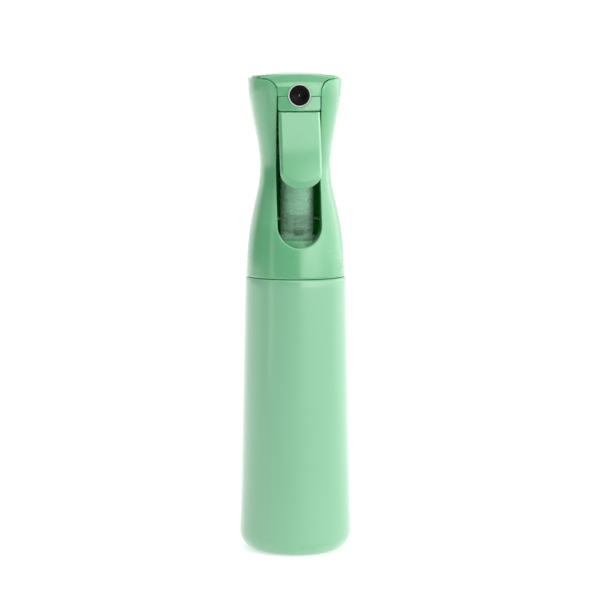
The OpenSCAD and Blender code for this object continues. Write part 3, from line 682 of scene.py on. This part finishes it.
def make_cover():
    """The dome with its sloping front and the apron around the nozzle."""
    s = sizes()
    gap = s.cover_gap / MM
    half, hole = SLOT_HALF - gap, COLLAR_R + 0.15
    corner_r = WING_R + gap
    start_a = asin((APRON_Z - NOZZLE_Z) / hole)
    circle = [(hole * sin(t), NOZZLE_Z + hole * cos(t))
              for t in [(pi / 2 - start_a) * i / 24 for i in range(25)]]
    corner = fillet([(circle[-1][0], APRON_Z, 0), (half, APRON_Z, 0.5), (half, WING_Z, 0)], 4)
    wing = [(WING_X - corner_r * cos(radians(90 * i / 24)), WING_Z + corner_r * sin(radians(90 * i / 24)))
            for i in range(1, 25)]
    end_x = 19.0
    end = [(18.2, WING_Z + corner_r - 0.5), (end_x, WING_Z + corner_r - 1.6)]
    columns = 84
    lower = resample(circle + corner[1:] + wing + end, columns)
    rows = 22
    lid_d = s.shell_wall / MM + gap

    def surface(x, z, low_end):
        """Point of the front at x and z, drawn onto the lid's side at the ends of the wings."""
        lift = crown_drop(x, LEAN) * smooth((z - NOZZLE_Z - 4.3) / 6.0)
        y = front_depth(z + lift) + bow(x)
        y = max(y, head_front(x, min(z, RIM_Z)) + 0.1 + 0.45 * smooth((x - SLOT_HALF) / 3))
        side = smooth((x - 14.0) / 3.6) * low_end
        return (x, max(y, y + (head_front(x, RIM_Z, lid_d) - y) * side), z)

    points, faces = [], []
    for j, (bx, bz) in enumerate(lower):
        tx = end_x * (j / (columns - 1))
        ty = CREASE_Y + bow(tx)
        tz = CROWN_Z - crown_drop(tx, ty)
        for k in range(rows + 1):
            t = k / rows
            x, z = tx + (bx - tx) * t, tz + (bz - tz) * t
            points.append(surface(x, z, t) if k else (tx, ty, tz))
    faces += grid_faces(columns, rows + 1)
    top = [points[j * (rows + 1)] for j in range(columns)]
    # Skirt inside the shell, from the end of the wing round to the back
    a0 = head_angle(end_x, RIM_Z, lid_d)
    skirt_n, skirt_rows = 64, 5
    skirt_z = RIM_Z - 3.2
    start = len(points)
    for i in range(skirt_n + 1):
        a = a0 + (pi / 2 - a0) * i / skirt_n
        x, y, _ = head_point(a, RIM_Z, lid_d)
        z = CROWN_Z - crown_drop(x, y)
        low_z = skirt_z if i else lower[-1][1]
        for k in range(skirt_rows + 1):
            t = k / skirt_rows
            zz = z + (low_z - z) * t
            px, py, _ = head_point(a, min(zz, RIM_Z), lid_d)
            points.append((px if k else x, py if k else y, zz))
        if i:
            top.append(points[start + i * (skirt_rows + 1)])
    faces += grid_faces(skirt_n + 1, skirt_rows + 1, start)
    # Crown
    start = len(points)
    rings = 22
    for x, y, z in top:
        for k in range(rings + 1):
            t = 1 - k / rings
            px, py = x * t, LEAN + (y - LEAN) * t
            points.append((px, py, z if k == 0 else CROWN_Z - crown_drop(px, py)))
    faces += grid_faces(len(top), rings + 1, start, flip=True)
    obj = new_object("cover_dome", *mirrored(points, faces), "mint_plastic")
    close_cover(obj.data, s.cover_wall)
    return bevel(obj, 0.26, 3, 50)


def close_cover(mesh, wall):
    """Gives the cover's outer face an inner one: straight behind the apron, towards the middle elsewhere."""
    bm = bmesh.new()
    bm.from_mesh(mesh)
    middle = (0.0, LEAN * MM, (NOZZLE_Z - 12) * MM)
    twin = {}
    for v in list(bm.verts):
        x, y, z = v.co
        share = smooth((z / MM - NOZZLE_Z - 3.5) / 4)
        reach = sqrt(sum((a - b) ** 2 for a, b in zip((x, y, z), middle)))
        step = [(m - p) / reach * share * wall for m, p in zip(middle, (x, y, z))]
        twin[v] = bm.verts.new((x + step[0], y + step[1] + (1 - share) * wall, z + step[2]))
    rim = [e for e in bm.edges if len(e.link_faces) == 1]
    for face in list(bm.faces):
        bm.faces.new([twin[v] for v in reversed(face.verts)])
    for edge in rim:
        p, q = edge.verts
        bm.faces.new((p, q, twin[q], twin[p]))
    bmesh.ops.recalc_face_normals(bm, faces=bm.faces)
    bm.to_mesh(mesh)
    bm.free()


# ---- Slabs: a face between two lines, with loops around it ----

def slab(name, loops, slot, split, cap_rows=10, front=None, back=None):
    """A closed body through loops of points. The first and last loop are capped by a grid between
    their lower part, which has split + 1 points, and their upper part, which has as many."""
    m = len(loops[0])
    points = [p for loop in loops for p in loop]
    faces = []
    for i in range(len(loops) - 1):
        for j in range(m):
            k = (j + 1) % m
            faces.append((i * m + j, i * m + k, (i + 1) * m + k, (i + 1) * m + j))
    for loop, shape in ((loops[0], front), (loops[-1], back)):
        lower = loop[:split + 1]
        upper = [loop[0]] + loop[:split:-1][:split - 1] + [loop[split]]
        start = len(points)
        for p, q in zip(lower, upper):
            for r in range(cap_rows + 1):
                x, y, z = between(p, q, r / cap_rows)
                points.append((x, shape(x, z) if shape and 0 < r < cap_rows else y, z))
        faces += grid_faces(len(lower), cap_rows + 1, start)
    return new_object(name, points, faces, slot)


def offset_loop(loop, d):
    """A closed line of (x, z) moved inwards by d."""
    m, out = len(loop), []
    area = sum(a[0] * b[1] - b[0] * a[1] for a, b in zip(loop, loop[1:] + loop[:1]))
    turn = 1 if area > 0 else -1
    for i in range(m):
        (ax, az), (bx, bz), (cx, cz) = loop[i - 1], loop[i], loop[(i + 1) % m]
        ux, uz, vx, vz = bx - ax, bz - az, cx - bx, cz - bz
        lu, lv = sqrt(ux * ux + uz * uz) or 1, sqrt(vx * vx + vz * vz) or 1
        nx, nz = -(uz / lu + vz / lv) * turn, (ux / lu + vx / lv) * turn
        ln = sqrt(nx * nx + nz * nz) or 1
        out.append((bx + nx / ln * d, bz + nz / ln * d))
    return out


def make_block():
    """The bowed block under the nozzle, hollowed to take the collar."""
    half, z0, z1, back = BLOCK_HIGH.x, BLOCK_LOW.z, BLOCK_HIGH.z, BLOCK_HIGH.y
    hole = COLLAR_R + 0.12
    middle = (z0 + z1) / 2
    split = 60
    lower = resample(fillet([(-half, middle, 0), (-half, z0, 2), (half, z0, 2), (half, middle, 0)], 8), split + 1)
    reach = sqrt(hole ** 2 - (NOZZLE_Z - z1) ** 2)
    a = asin(reach / hole)
    arc = [(hole * sin(t), NOZZLE_Z - hole * cos(t)) for t in [a - 2 * a * i / 30 for i in range(31)]]
    right = fillet([(half, middle, 0), (half, z1, 0.5), (arc[0][0], z1, 0)], 4)
    upper = resample(right + arc[1:] + [(-x, z) for x, z in reversed(right[:-1])], split + 1)
    loop = lower + upper[1:-1]

    def at(d, dy, y=None):
        ring = offset_loop(loop, d) if d else loop
        return [(x, FRONT_Y + bow(x) + dy if y is None else y, z) for x, z in ring]

    loops = [at(0.32, 0), at(0.2, 0.03), at(0.09, 0.1), at(0.02, 0.22), at(0, 0.36), at(0, 1.6),
             at(0, 0, back - 0.3), at(0.1, 0, back - 0.08), at(0.3, 0, back)]
    obj = slab("front_block", loops, "mint_plastic", split, front=lambda x, z: FRONT_Y + bow(x))
    even_normals(obj)
    return obj


def make_nozzle():
    """The collar and the dished insert with its orifice."""
    f, b = COLLAR_LOW.y, COLLAR_HIGH.y
    # The collar takes the paler finish: a painted highlight along its rim.
    collar = lathe("nozzle_ring", ring_profile([
        (COLLAR_R, b, 0.2), (COLLAR_R, f, 0.5), (TIP_HIGH.x + 0.05, f, 0.3), (TIP_HIGH.x + 0.05, b - 1, 0),
        (3.65, b - 1, 0), (3.65, b, 0)], 5), "pale_rim", (0, NOZZLE_Z), "Y", 120)
    f, b, r = TIP_LOW.y, TIP_HIGH.y, TIP_HIGH.x
    insert = lathe("nozzle_insert", ring_profile([
        (r, b, 0), (r, f, 0.3), (3.9, f + 0.02, 0.2), (3.55, f + 0.12, 0.3), (1.35, f + 0.72, 0.35),
        (0.95, f + 0.70, 0.1), (0.36, f + 0.86, 0.05), (0.36, f + 4.2, 0), (1.6, f + 4.2, 0), (1.6, f + 6.0, 0),
        (2.85, f + 6.0, 0), (2.85, b, 0)], 4), "black_plastic", (0, NOZZLE_Z), "Y", 96)
    return collar, insert


BLADE_START_Y = -20


def blade_y(z):
    """Y of the blade's face at z, in its middle."""
    t = max(0.0, min(1.0, (BLADE_TOP - z) / BLADE_H))
    return BLADE_START_Y + (TRIGGER_LOW.y - BLADE_START_Y) * (0.55 * sin(radians(90 * t ** 0.92)) + 0.45 * t)


RIM_LINE = ((-27.3, 187.9), (-25.5, 197.3), (-17.5, 213.5), (-13.5, 218.1), (-13.5, 240.0))


def blade_rear(z):
    """Y of the rear edge of the blade's rim."""
    for (ya, za), (yb, zb) in zip(RIM_LINE, RIM_LINE[1:]):
        if z <= zb:
            return ya + (yb - ya) * (z - za) / (zb - za) if z > za else ya
    return RIM_LINE[-1][0]


def make_blade():
    """The squeezed blade: a bowed face, a bevel around it and a rim behind."""
    s = sizes()
    top, bottom = BLADE_TOP, TRIGGER_LOW.z
    crown, wall = s.blade_crown / MM, 1.45
    side, tip = s.blade_bevel / MM, s.blade_tip_bevel / MM
    split, centre, thick = 84, bottom + 8.3, 2.2

    def outline(d_side, d_tip, d_top=0.0):
        half = TRIGGER_HALF - d_side
        down = bottom + d_tip
        line = [(-half, top - d_top), (-half, centre + 10)]
        line += [(-half * cos(radians(180 * i / 48)), centre - (centre - down) * sin(radians(180 * i / 48)))
                 for i in range(49)]
        line += [(half, centre + 10), (half, top - d_top)]
        lower = resample(line, split + 1)
        upper = [between(lower[0], lower[-1], 1 - i / split) for i in range(1, split)]
        return lower + upper

    def face(x, z):
        return blade_y(z) + crown * (x / TRIGGER_HALF) ** 2

    def at(d_side, d_tip, dy, d_top=0.0):
        return [(x, face(x, z) + dy * (1 + 0.75 * smooth((centre - z) / 8)), z)
                for x, z in outline(d_side, d_tip, d_top)]

    def rear(d_side, d_tip, d_top=0.0):
        return [(x, max(blade_rear(z), face(x, z) + 2.3), z) for x, z in outline(d_side, d_tip, d_top)]

    loops = [at(side + 0.25, tip + 0.3, 0, 0.5), at(side + 0.08, tip + 0.1, 0.04, 0.3),
             at(side - 0.06, tip - 0.1, 0.17, 0.15), at(side - 0.16, tip - 0.35, 0.36, 0.05),
             at(0.30, tip * 0.32, 1.15), at(0.18, 0.55, 1.38), at(0.06, 0.2, 1.6), at(0, 0, 1.9)]
    rear_loop = rear(0, 0)
    loops += [[between(a, b, t) for a, b in zip(loops[-1], rear_loop)] for t in (0.5, 0.92)]
    loops += [rear(0.12, 0.1), rear(wall - 0.15, wall)]
    floor = at(wall, wall + 0.1, thick)
    loops += [[between(a, b, t) for a, b in zip(loops[-1], floor)] for t in (0.1, 0.9)]
    loops += [at(wall + 0.4, wall + 0.6, thick, 0.2)]
    return slab("trigger_blade", loops, "mint_plastic", split, cap_rows=40, front=face,
                back=lambda x, z: face(x, z) + thick)


def plate(name, outline, x0, x1, slot, rounding):
    """A flat outline of (y, z) with a thickness along X."""
    m = len(outline)
    points = [(x, y, z) for x in (x0, x1) for y, z in outline]
    faces = [tuple(range(m)), tuple(range(2 * m - 1, m - 1, -1))]
    faces += [(j, j + m, (j + 1) % m + m, (j + 1) % m) for j in range(m)]
    obj = new_object(name, points, faces, slot, angle=30)
    return bevel(obj, rounding, 2, 50)


def make_arms():
    """The two fork arms with their open peg slots, joined to one body."""
    lever = PEG_Y - PIVOT_Y
    tilt = radians(8.5)
    reach, gap, high, eye_r = lever / cos(tilt), 1.65, 2.75, 3.4

    def put(u, v):
        return PIVOT_Y + u * cos(tilt) + v * sin(tilt), PIVOT_Z - u * sin(tilt) + v * cos(tilt)

    a = asin(high / eye_r)
    eye = [(eye_r * cos(t), eye_r * sin(t)) for t in [a + (2 * pi - 2 * a) * i / 28 for i in range(29)]]
    slot_end = [(reach - 0.75 + gap * cos(t), gap * sin(t)) for t in [pi * 1.5 - pi * i / 12 for i in range(13)]]
    end = reach + 2.5
    line = eye + [(end - 0.4, -high), (end, -high + 0.4), (end, -gap)] + slot_end
    line += [(end, gap), (end, high - 0.4), (end - 0.4, high)]
    outline = [put(u, v) for u, v in line]
    inside, outside = 8.9, 10.35
    return [plate(f"trigger_arm_{n}", outline, s * inside, s * outside, "mint_plastic", 0.2)
            for n, s in (("left", -1), ("right", 1))]


# ---- Bottle ----

def make_bottle():
    """The blown bottle: foot with a pushed-up bottom, side, shoulder register and neck."""
    s = sizes()
    w = s.bottle_wall / MM
    corner, deck = 10.2, SEAM_Z + 1.5
    neck, bore, register = 12.5, 11.0, TOP_R - 0.3 - 1.8 - 0.55
    cx, cz = BASE_R - corner, corner

    def arc(x, z, r, a, b, n):
        return [(x + r * cos(radians(a + (b - a) * i / n)), z + r * sin(radians(a + (b - a) * i / n)))
                for i in range(n + 1)]

    base = fillet([(0, 2.5, 0), (8.2, 2.2, 6), (13.2, 0.6, 2.5), (15.2, 0, 1.2), (cx, 0, 0)], 6)[:-1]
    side = [between((BASE_R, corner), (TOP_R, SEAM_Z - 1.2), i / 40) for i in range(1, 40)]
    outer = base + arc(cx, cz, corner, -90, 0, 20) + side + arc(TOP_R - 1.2, SEAM_Z - 1.2, 1.2, 0, 90, 7)
    outer += fillet([(register + 1.2, SEAM_Z, 0), (register, SEAM_Z, 0.3), (register, deck, 0.4),
                     (neck + 0.8, deck, 0.5), (neck, deck + 0.8, 0.5), (neck, LIP_Z, 0.35), (bore, LIP_Z, 0.35),
                     (bore, deck - w, 0.5), (register - w, deck - w, 0.4), (register - w, SEAM_Z - w, 0.4),
                     (TOP_R - w - 0.8, SEAM_Z - w, 0.8), (TOP_R - w, SEAM_Z - w - 1.6, 0)], 4)
    inner = arc(cx, cz, corner - w, 0, -90, 14) + [(15, w), (13, w + 0.6), (8.2, 2.2 + w), (0, 2.5 + w)]
    return lathe("bottle_side", outer + inner, "bottle_plastic", segments=160)


def make_thread():
    """The rounded thread ridge on the neck."""
    pitch, turns, root, crest, z0 = 4.2, 1.5, 12.3, 13.75, SEAM_Z + 5.0
    steps, shape = 144, fillet([(0, -1.1, 0), (1, -0.55, 0.25), (1, 0.55, 0.25), (0, 1.1, 0)], 4)
    points, faces, m = [], [], len(shape)
    for i in range(steps + 1):
        a = 2 * pi * turns * i / steps
        grow = smooth(min(i, steps - i) / 16) * 0.95 + 0.05
        for u, v in shape:
            r = root + (crest - root) * u * grow
            points.append((r * cos(a), r * sin(a), z0 + pitch * turns * i / steps + v * (0.4 + 0.6 * grow)))
    faces += [(i * m + j, i * m + (j + 1) % m, (i + 1) * m + (j + 1) % m, (i + 1) * m + j)
              for i in range(steps) for j in range(m)]
    faces += [tuple(range(m)), tuple(range(steps * m + m - 1, steps * m - 1, -1))]
    return new_object("neck_thread", points, faces, "bottle_plastic")


# ---- Pump parts ----

def copied(name, node, slot):
    """A merged and smooth copy of a node of the frame."""
    mesh = frame["nodes"][node].data.copy()
    obj = placed(name, mesh)
    bm = bmesh.new()
    bm.from_mesh(mesh)
    bmesh.ops.remove_doubles(bm, verts=bm.verts, dist=MERGE)
    bmesh.ops.dissolve_limit(bm, angle_limit=radians(0.5), verts=bm.verts, edges=bm.edges)
    bm.to_mesh(mesh)
    bm.free()
    mesh.materials.clear()
    mesh.materials.append(FINISHES[slot])
    mesh.name = name
    shade(obj, 30)
    return obj


def make_piston():
    """The pale piston with its skirt ribs."""
    y = (PISTON_LOW.y + PISTON_HIGH.y) / 2
    r, z0, z1 = PISTON_HIGH.x, PISTON_LOW.z, PISTON_HIGH.z
    ribs = []
    z = z1 - 6.0
    while z > z0 + 2.2:
        ribs += [(r, z, 0.1), (r - 0.22, z - 0.25, 0.1), (r - 0.22, z - 0.85, 0.1), (r, z - 1.1, 0.1)]
        z -= 2.6
    line = [(0, z1, 0), (r - 0.3, z1, 0.2), (r, z1 - 0.4, 0.2), (r, z1 - 0.9, 0), (r - 0.9, z1 - 1, 0),
            (r - 0.9, z1 - 4, 0), (r, z1 - 4, 0.1), *ribs,
            (r, z0, 0.2), (r - 1, z0, 0.2), (r - 1, z1 - 6, 0), (0, z1 - 6, 0)]
    return lathe("piston_pale", fillet(line, 3), "white_plastic", (0, y), segments=96)


# ---- Geometry Nodes ----

class Rule:
    """A geometry node tree with named inputs that ends in Realize Instances and Set Material."""

    def __init__(self, name, **inputs):
        self.tree = bpy.data.node_groups.new(name, "GeometryNodeTree")
        self.tree.interface.new_socket("Geometry", in_out="OUTPUT", socket_type="NodeSocketGeometry")
        self.identifiers = {}
        for key, value in inputs.items():
            kind = "NodeSocketInt" if isinstance(value, int) else "NodeSocketFloat"
            socket = self.tree.interface.new_socket(key, in_out="INPUT", socket_type=kind)
            socket.default_value = value
            self.identifiers[key] = socket.identifier
        self.values = inputs
        self.n = Nodes(self.tree)
        self.group = self.tree.nodes.new("NodeGroupInput")

    def __getitem__(self, key):
        return Wire(self.n, self.group.outputs[key])

    def finish(self, geometry, material):
        real = self.n.add("GeometryNodeRealizeInstances", None, {0: geometry})
        done = self.n.add("GeometryNodeSetMaterial", None, {"Geometry": real, "Material": material})
        self.n.add("NodeGroupOutput", None, {0: done})

    def build(self, name):
        """The rule's result as a plain mesh object."""
        obj = placed(name, bpy.data.meshes.new(name + "_seed"))
        m = obj.modifiers.new("rule", "NODES")
        m.node_group = self.tree
        for key, value in self.values.items():
            m[self.identifiers[key]] = value
        return bake(obj)


def make_coil(name, node, wire, turns, y_axis):
    """A compression spring with closed end turns that fills a node's box."""
    low, high = box_mm(node)
    r = (high.x - low.x - wire) / 2
    rule = Rule(name + "_rule", Radius=r * MM, Wire=wire * MM, Low=(low.z + wire / 2) * MM,
                Rise=(high.z - low.z - wire) * MM, Turns=int(turns), Steps=int(turns) * 40)
    n = rule.n
    line = n.add("GeometryNodeCurvePrimitiveLine")
    line = n.add("GeometryNodeResampleCurve", {"mode": "COUNT"}, {"Curve": line, "Count": rule["Steps"]})
    share = n.add("GeometryNodeSplineParameter")
    turn = share * rule["Turns"]
    closed = rule["Wire"] * 1.06
    open_turns = rule["Turns"] - 2
    middle = (turn - 1).apply("MAXIMUM", 0).apply("MINIMUM", open_turns)
    ends = turn.apply("MINIMUM", 1) + (turn - 1 - open_turns).apply("MAXIMUM", 0)
    z = rule["Low"] + ends * closed + middle * ((rule["Rise"] - closed * 2) / open_turns)
    angle = turn * (2 * pi)
    x = angle.apply("COSINE") * rule["Radius"]
    y = angle.apply("SINE") * rule["Radius"] + y_axis * MM
    place = n.add("ShaderNodeCombineXYZ", None, {0: x, 1: y, 2: z})
    line = n.add("GeometryNodeSetPosition", None, {"Geometry": line, "Position": place})
    circle = n.add("GeometryNodeCurvePrimitiveCircle", None, {"Resolution": 14, "Radius": rule["Wire"] * 0.5})
    tube = n.add("GeometryNodeCurveToMesh", None, {"Curve": line, "Profile Curve": circle, "Fill Caps": True})
    rule.finish(tube, FINISHES["spring_steel"])
    return rule.build(name)


def make_fins():
    """Fins around the inside of the shell that key into the closure."""
    inner, outer = 16.4, HEAD_R - 1.6
    rule = Rule("fin_rule", Count=int(sizes().key_fins), Reach=(inner + outer) / 2 * MM, Length=(outer - inner) * MM,
                Thickness=1.4 * MM, Height=12.0 * MM, Middle=150.0 * MM)
    n = rule.n
    ring = n.add("GeometryNodeMeshCircle", None, {"Vertices": rule["Count"], "Radius": rule["Reach"]})
    size = n.add("ShaderNodeCombineXYZ", None, {0: rule["Length"], 1: rule["Thickness"], 2: rule["Height"]})
    fin = n.add("GeometryNodeMeshCube", None, {"Size": size, "Vertices Z": 5})
    index = n.add("GeometryNodeInputIndex")
    turn = n.add("ShaderNodeCombineXYZ", None, {0: 0.0, 1: 0.0, 2: index * (2 * pi) / rule["Count"]})
    fins = n.add("GeometryNodeInstanceOnPoints", None, {"Points": ring, "Instance": fin, "Rotation": turn})
    lift = n.add("ShaderNodeCombineXYZ", None, {0: 0.0, 1: 0.0, 2: rule["Middle"]})
    fins = n.add("GeometryNodeTransform", None, {"Geometry": fins, "Translation": lift})
    rule.finish(fins, FINISHES["mint_plastic"])
    obj = rule.build("key_fins")
    return bevel(obj, 0.2, 2, 40)


# ---- Operators ----

class MISTER_OT_finishes(Operator):
    """Make the finishes of the moulded, rubber and steel parts"""
    bl_idname = "mister.finishes"
    bl_label = "Finishes"

    def execute(self, context):
        make_finishes()
        slots = {p["node"]: p["material_slot"] for p in frame["record"]["subparts"]}
        for name, obj in frame["nodes"].items():
            obj.data.materials.clear()
            obj.data.materials.append(FINISHES[slots[name]])
        return {"FINISHED"}


class MISTER_OT_bottle(Operator):
    """Build the bottle with its foot, shoulder, neck and thread"""
    bl_idname = "mister.bottle"
    bl_label = "Bottle"

    def execute(self, context):
        settle(make_bottle(), "bottle", "bottle_plastic", "bottle")
        settle(make_thread(), "bottle", "bottle_plastic")
        return {"FINISHED"}


class MISTER_OT_shell(Operator):
    """Build the head shell and its key fins"""
    bl_idname = "mister.shell"
    bl_label = "Head shell"

    def execute(self, context):
        settle(make_shell(), "head", "mint_plastic", "head_shell")
        settle(make_fins(), "head", "mint_plastic")
        return {"FINISHED"}


class MISTER_OT_cover(Operator):
    """Build the top cover with its apron"""
    bl_idname = "mister.cover"
    bl_label = "Top cover"

    def execute(self, context):
        settle(make_cover(), "head", "mint_plastic", "top_cover")
        return {"FINISHED"}


class MISTER_OT_nozzle(Operator):
    """Build the front block, the nozzle's collar and its insert"""
    bl_idname = "mister.nozzle"
    bl_label = "Nozzle"

    def execute(self, context):
        settle(make_block(), "head", "mint_plastic", "nozzle_block")
        collar, insert = make_nozzle()
        settle(collar, "head", "mint_plastic", "nozzle_collar")
        settle(insert, "head", "black_plastic", "nozzle_tip")
        return {"FINISHED"}


class MISTER_OT_trigger(Operator):
    """Build the trigger blade and its fork arms"""
    bl_idname = "mister.trigger"
    bl_label = "Trigger"

    def execute(self, context):
        settle(make_blade(), "trigger_lever", "mint_plastic", "trigger")
        for arm in make_arms():
            settle(arm, "trigger_lever", "mint_plastic")
        return {"FINISHED"}


COPIES = (
    ("manifold_white", "manifold", "head", "white_plastic"),
    ("cup_white", "pump_cup", "pump", "white_plastic"),
    ("closure_mint", "closure_ring", "head", "mint_plastic"),
    ("plug_white", "neck_plug", "head", "white_plastic"),
    ("plunger_white", "plunger", "head", "white_plastic"),
    ("pin_steel", "pivot_pin", "head", "spring_steel"),
    ("tube_clear", "dip_tube", "head", "clear_plastic"),
)


class MISTER_OT_barrel(Operator):
    """Build the frosted barrel and the pale piston behind the trigger"""
    bl_idname = "mister.barrel"
    bl_label = "Barrel"

    def execute(self, context):
        settle(copied("barrel_frosted", "barrel_body", "frosted_plastic"), "head", "frosted_plastic", "barrel_body")
        settle(make_piston(), "buffer", "white_plastic", "buffer_piston")
        for name, node, body, slot in COPIES:
            settle(copied(name, node, slot), body, slot, node)
        return {"FINISHED"}


class MISTER_OT_springs(Operator):
    """Wind the buffer, pump and outlet springs"""
    bl_idname = "mister.springs"
    bl_label = "Springs"

    def execute(self, context):
        s = sizes()
        for name, node, wire, turns, y, joint, fixed, stroke in (
                ("coil_buffer", "buffer_spring", 1.2, s.buffer_turns, BUFFER_Y, "buffer_stroke", "low", 7.0),
                ("coil_pump", "pump_spring", 0.9, s.pump_turns, PUMP_Y, "pump_stroke", "high", 6.87),
                ("coil_outlet", "outlet_spring", 0.4, s.outlet_turns, PUMP_Y, "outlet_lift", "high", 1.0)):
            obj = make_coil(name, node, wire, turns, y)
            settle(obj, "head", "spring_steel", node)
            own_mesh(obj)
        return {"FINISHED"}


class MISTER_OT_stage(Operator):
    """Set the floor, the light and the camera"""
    bl_idname = "mister.stage"
    bl_label = "Stage"

    def execute(self, context):
        studio = context.scene.mister_studio
        context.scene.view_settings.view_transform = "Standard"
        make_floor()
        make_room(studio)
        make_lights(studio)
        make_camera(studio)
        return {"FINISHED"}


def make_floor():
    """A wide pale floor that glows: faintly in front of the bottle and brightly behind it, so it shows no shadow and
    also lights the bottle from below.
    """
    bm = bmesh.new()
    bmesh.ops.create_circle(bm, cap_ends=True, segments=96, radius=4.0)
    mesh = bpy.data.meshes.new("floor")
    bm.to_mesh(mesh)
    bm.free()
    obj = placed("floor", mesh)
    material = bpy.data.materials.new("glowing_floor")
    n = cleared(material)
    _, y, _ = n.axes(n.add("ShaderNodeTexCoord", out=3))
    # Painted glow: the floor shines by itself, little in front of the bottle and much more behind it.
    far = n.rise(y, -0.35, 0.6)
    glow = n.mix(far, (0.06, 0.06, 0.06, 1), (0.75, 0.75, 0.75, 1))
    shader = n.add("ShaderNodeBsdfPrincipled", None, {
        "Base Color": (0.8, 0.8, 0.8, 1), "Roughness": 0.9, "Emission Color": glow, "Emission Strength": 1.0})
    n.add("ShaderNodeOutputMaterial", None, {"Surface": shader})
    mesh.materials.append(material)


def make_room(studio):
    """A white room that is dimmer in front and to the left of the bottle."""
    world = bpy.data.worlds.new("studio")
    bpy.context.scene.world = world
    n = cleared(world)
    rise = n.rise
    x, y, z = n.axes(n.add("ShaderNodeTexCoord", out=0))
    right = rise(x, -0.06, 0.34) * (1 - rise(x, 0.6, 0.4) * 0.4) * rise(abs(z), 0.6, -0.35)
    strength = right * (studio.key - studio.room) + studio.room
    strength = strength + rise(z, 0.15, 0.22) * studio.sky
    back = rise(y, 0.45, 0.3)
    strength = strength + back * (1.12 - strength)
    light = n.add("ShaderNodeBackground", None, {"Color": (1, 1, 1, 1), "Strength": strength})
    n.add("ShaderNodeOutputWorld", None, {"Surface": light})


def make_lights(studio):
    """A large soft light overhead in front and a narrow one at the left."""
    for name, strength, turn, distance, height, size in (
            ("top", studio.top, 12, 0.75, 1.15, (1.2, 0.9)),
            ("fill", studio.fill, -62, 1.0, 0.30, (0.22, 0.9))):
        data = bpy.data.lights.new(name, "AREA")
        data.shape, data.size, data.size_y = "RECTANGLE", *size
        data.energy = strength * pi * size[0] * size[1]
        obj = placed(name, data)
        obj.visible_camera = False
        obj.location = (distance * sin(radians(turn)), -distance * cos(radians(turn)), height)
        obj.rotation_euler = (pi / 2 - atan2(height - 0.15, distance), 0, radians(turn))


def make_camera(studio):
    """The camera in front and a little to the left, looking slightly down."""
    data = bpy.data.cameras.new("view")
    data.lens, data.sensor_width = studio.lens, 36
    data.clip_start, data.clip_end = 0.05, 30
    obj = placed("view", data)
    pan = radians(0.117)
    obj.location = (studio.distance * sin(studio.turn), -studio.distance * cos(studio.turn), studio.height)
    obj.rotation_euler = (pi / 2 - studio.tilt, 0, studio.turn - pan)
    bpy.context.scene.camera = obj


class MISTER_PT_panel(Panel):
    """Lists the builders and their sizes"""
    bl_idname = "MISTER_PT_panel"
    bl_label = "Hand Mister"
    bl_space_type = "VIEW_3D"
    bl_region_type = "UI"
    bl_category = "Hand Mister"

    def draw(self, context):
        for maker in MAKERS:
            self.layout.operator(maker.bl_idname)
        for group in (context.scene.mister_sizes, context.scene.mister_colours, context.scene.mister_studio):
            box = self.layout.box()
            for name in group.__annotations__:
                box.prop(group, name)


MAKERS = (MISTER_OT_stage, MISTER_OT_finishes, MISTER_OT_bottle, MISTER_OT_shell, MISTER_OT_cover,
          MISTER_OT_nozzle, MISTER_OT_trigger, MISTER_OT_barrel, MISTER_OT_springs)
GROUPS = (MisterSizes, MisterColours, MisterStudio)


def register():
    for item in (*GROUPS, *MAKERS, MISTER_PT_panel):
        bpy.utils.register_class(item)
    bpy.types.Scene.mister_sizes = PointerProperty(type=MisterSizes)
    bpy.types.Scene.mister_colours = PointerProperty(type=MisterColours)
    bpy.types.Scene.mister_studio = PointerProperty(type=MisterStudio)


def unregister():
    for name in ("mister_sizes", "mister_colours", "mister_studio"):
        delattr(bpy.types.Scene, name)
    for item in reversed((*GROUPS, *MAKERS, MISTER_PT_panel)):
        bpy.utils.unregister_class(item)


def main():
    register()
    for maker in MAKERS:
        group, name = maker.bl_idname.split(".")
        getattr(getattr(bpy.ops, group), name)()


if __name__ == "__main__":
    main()
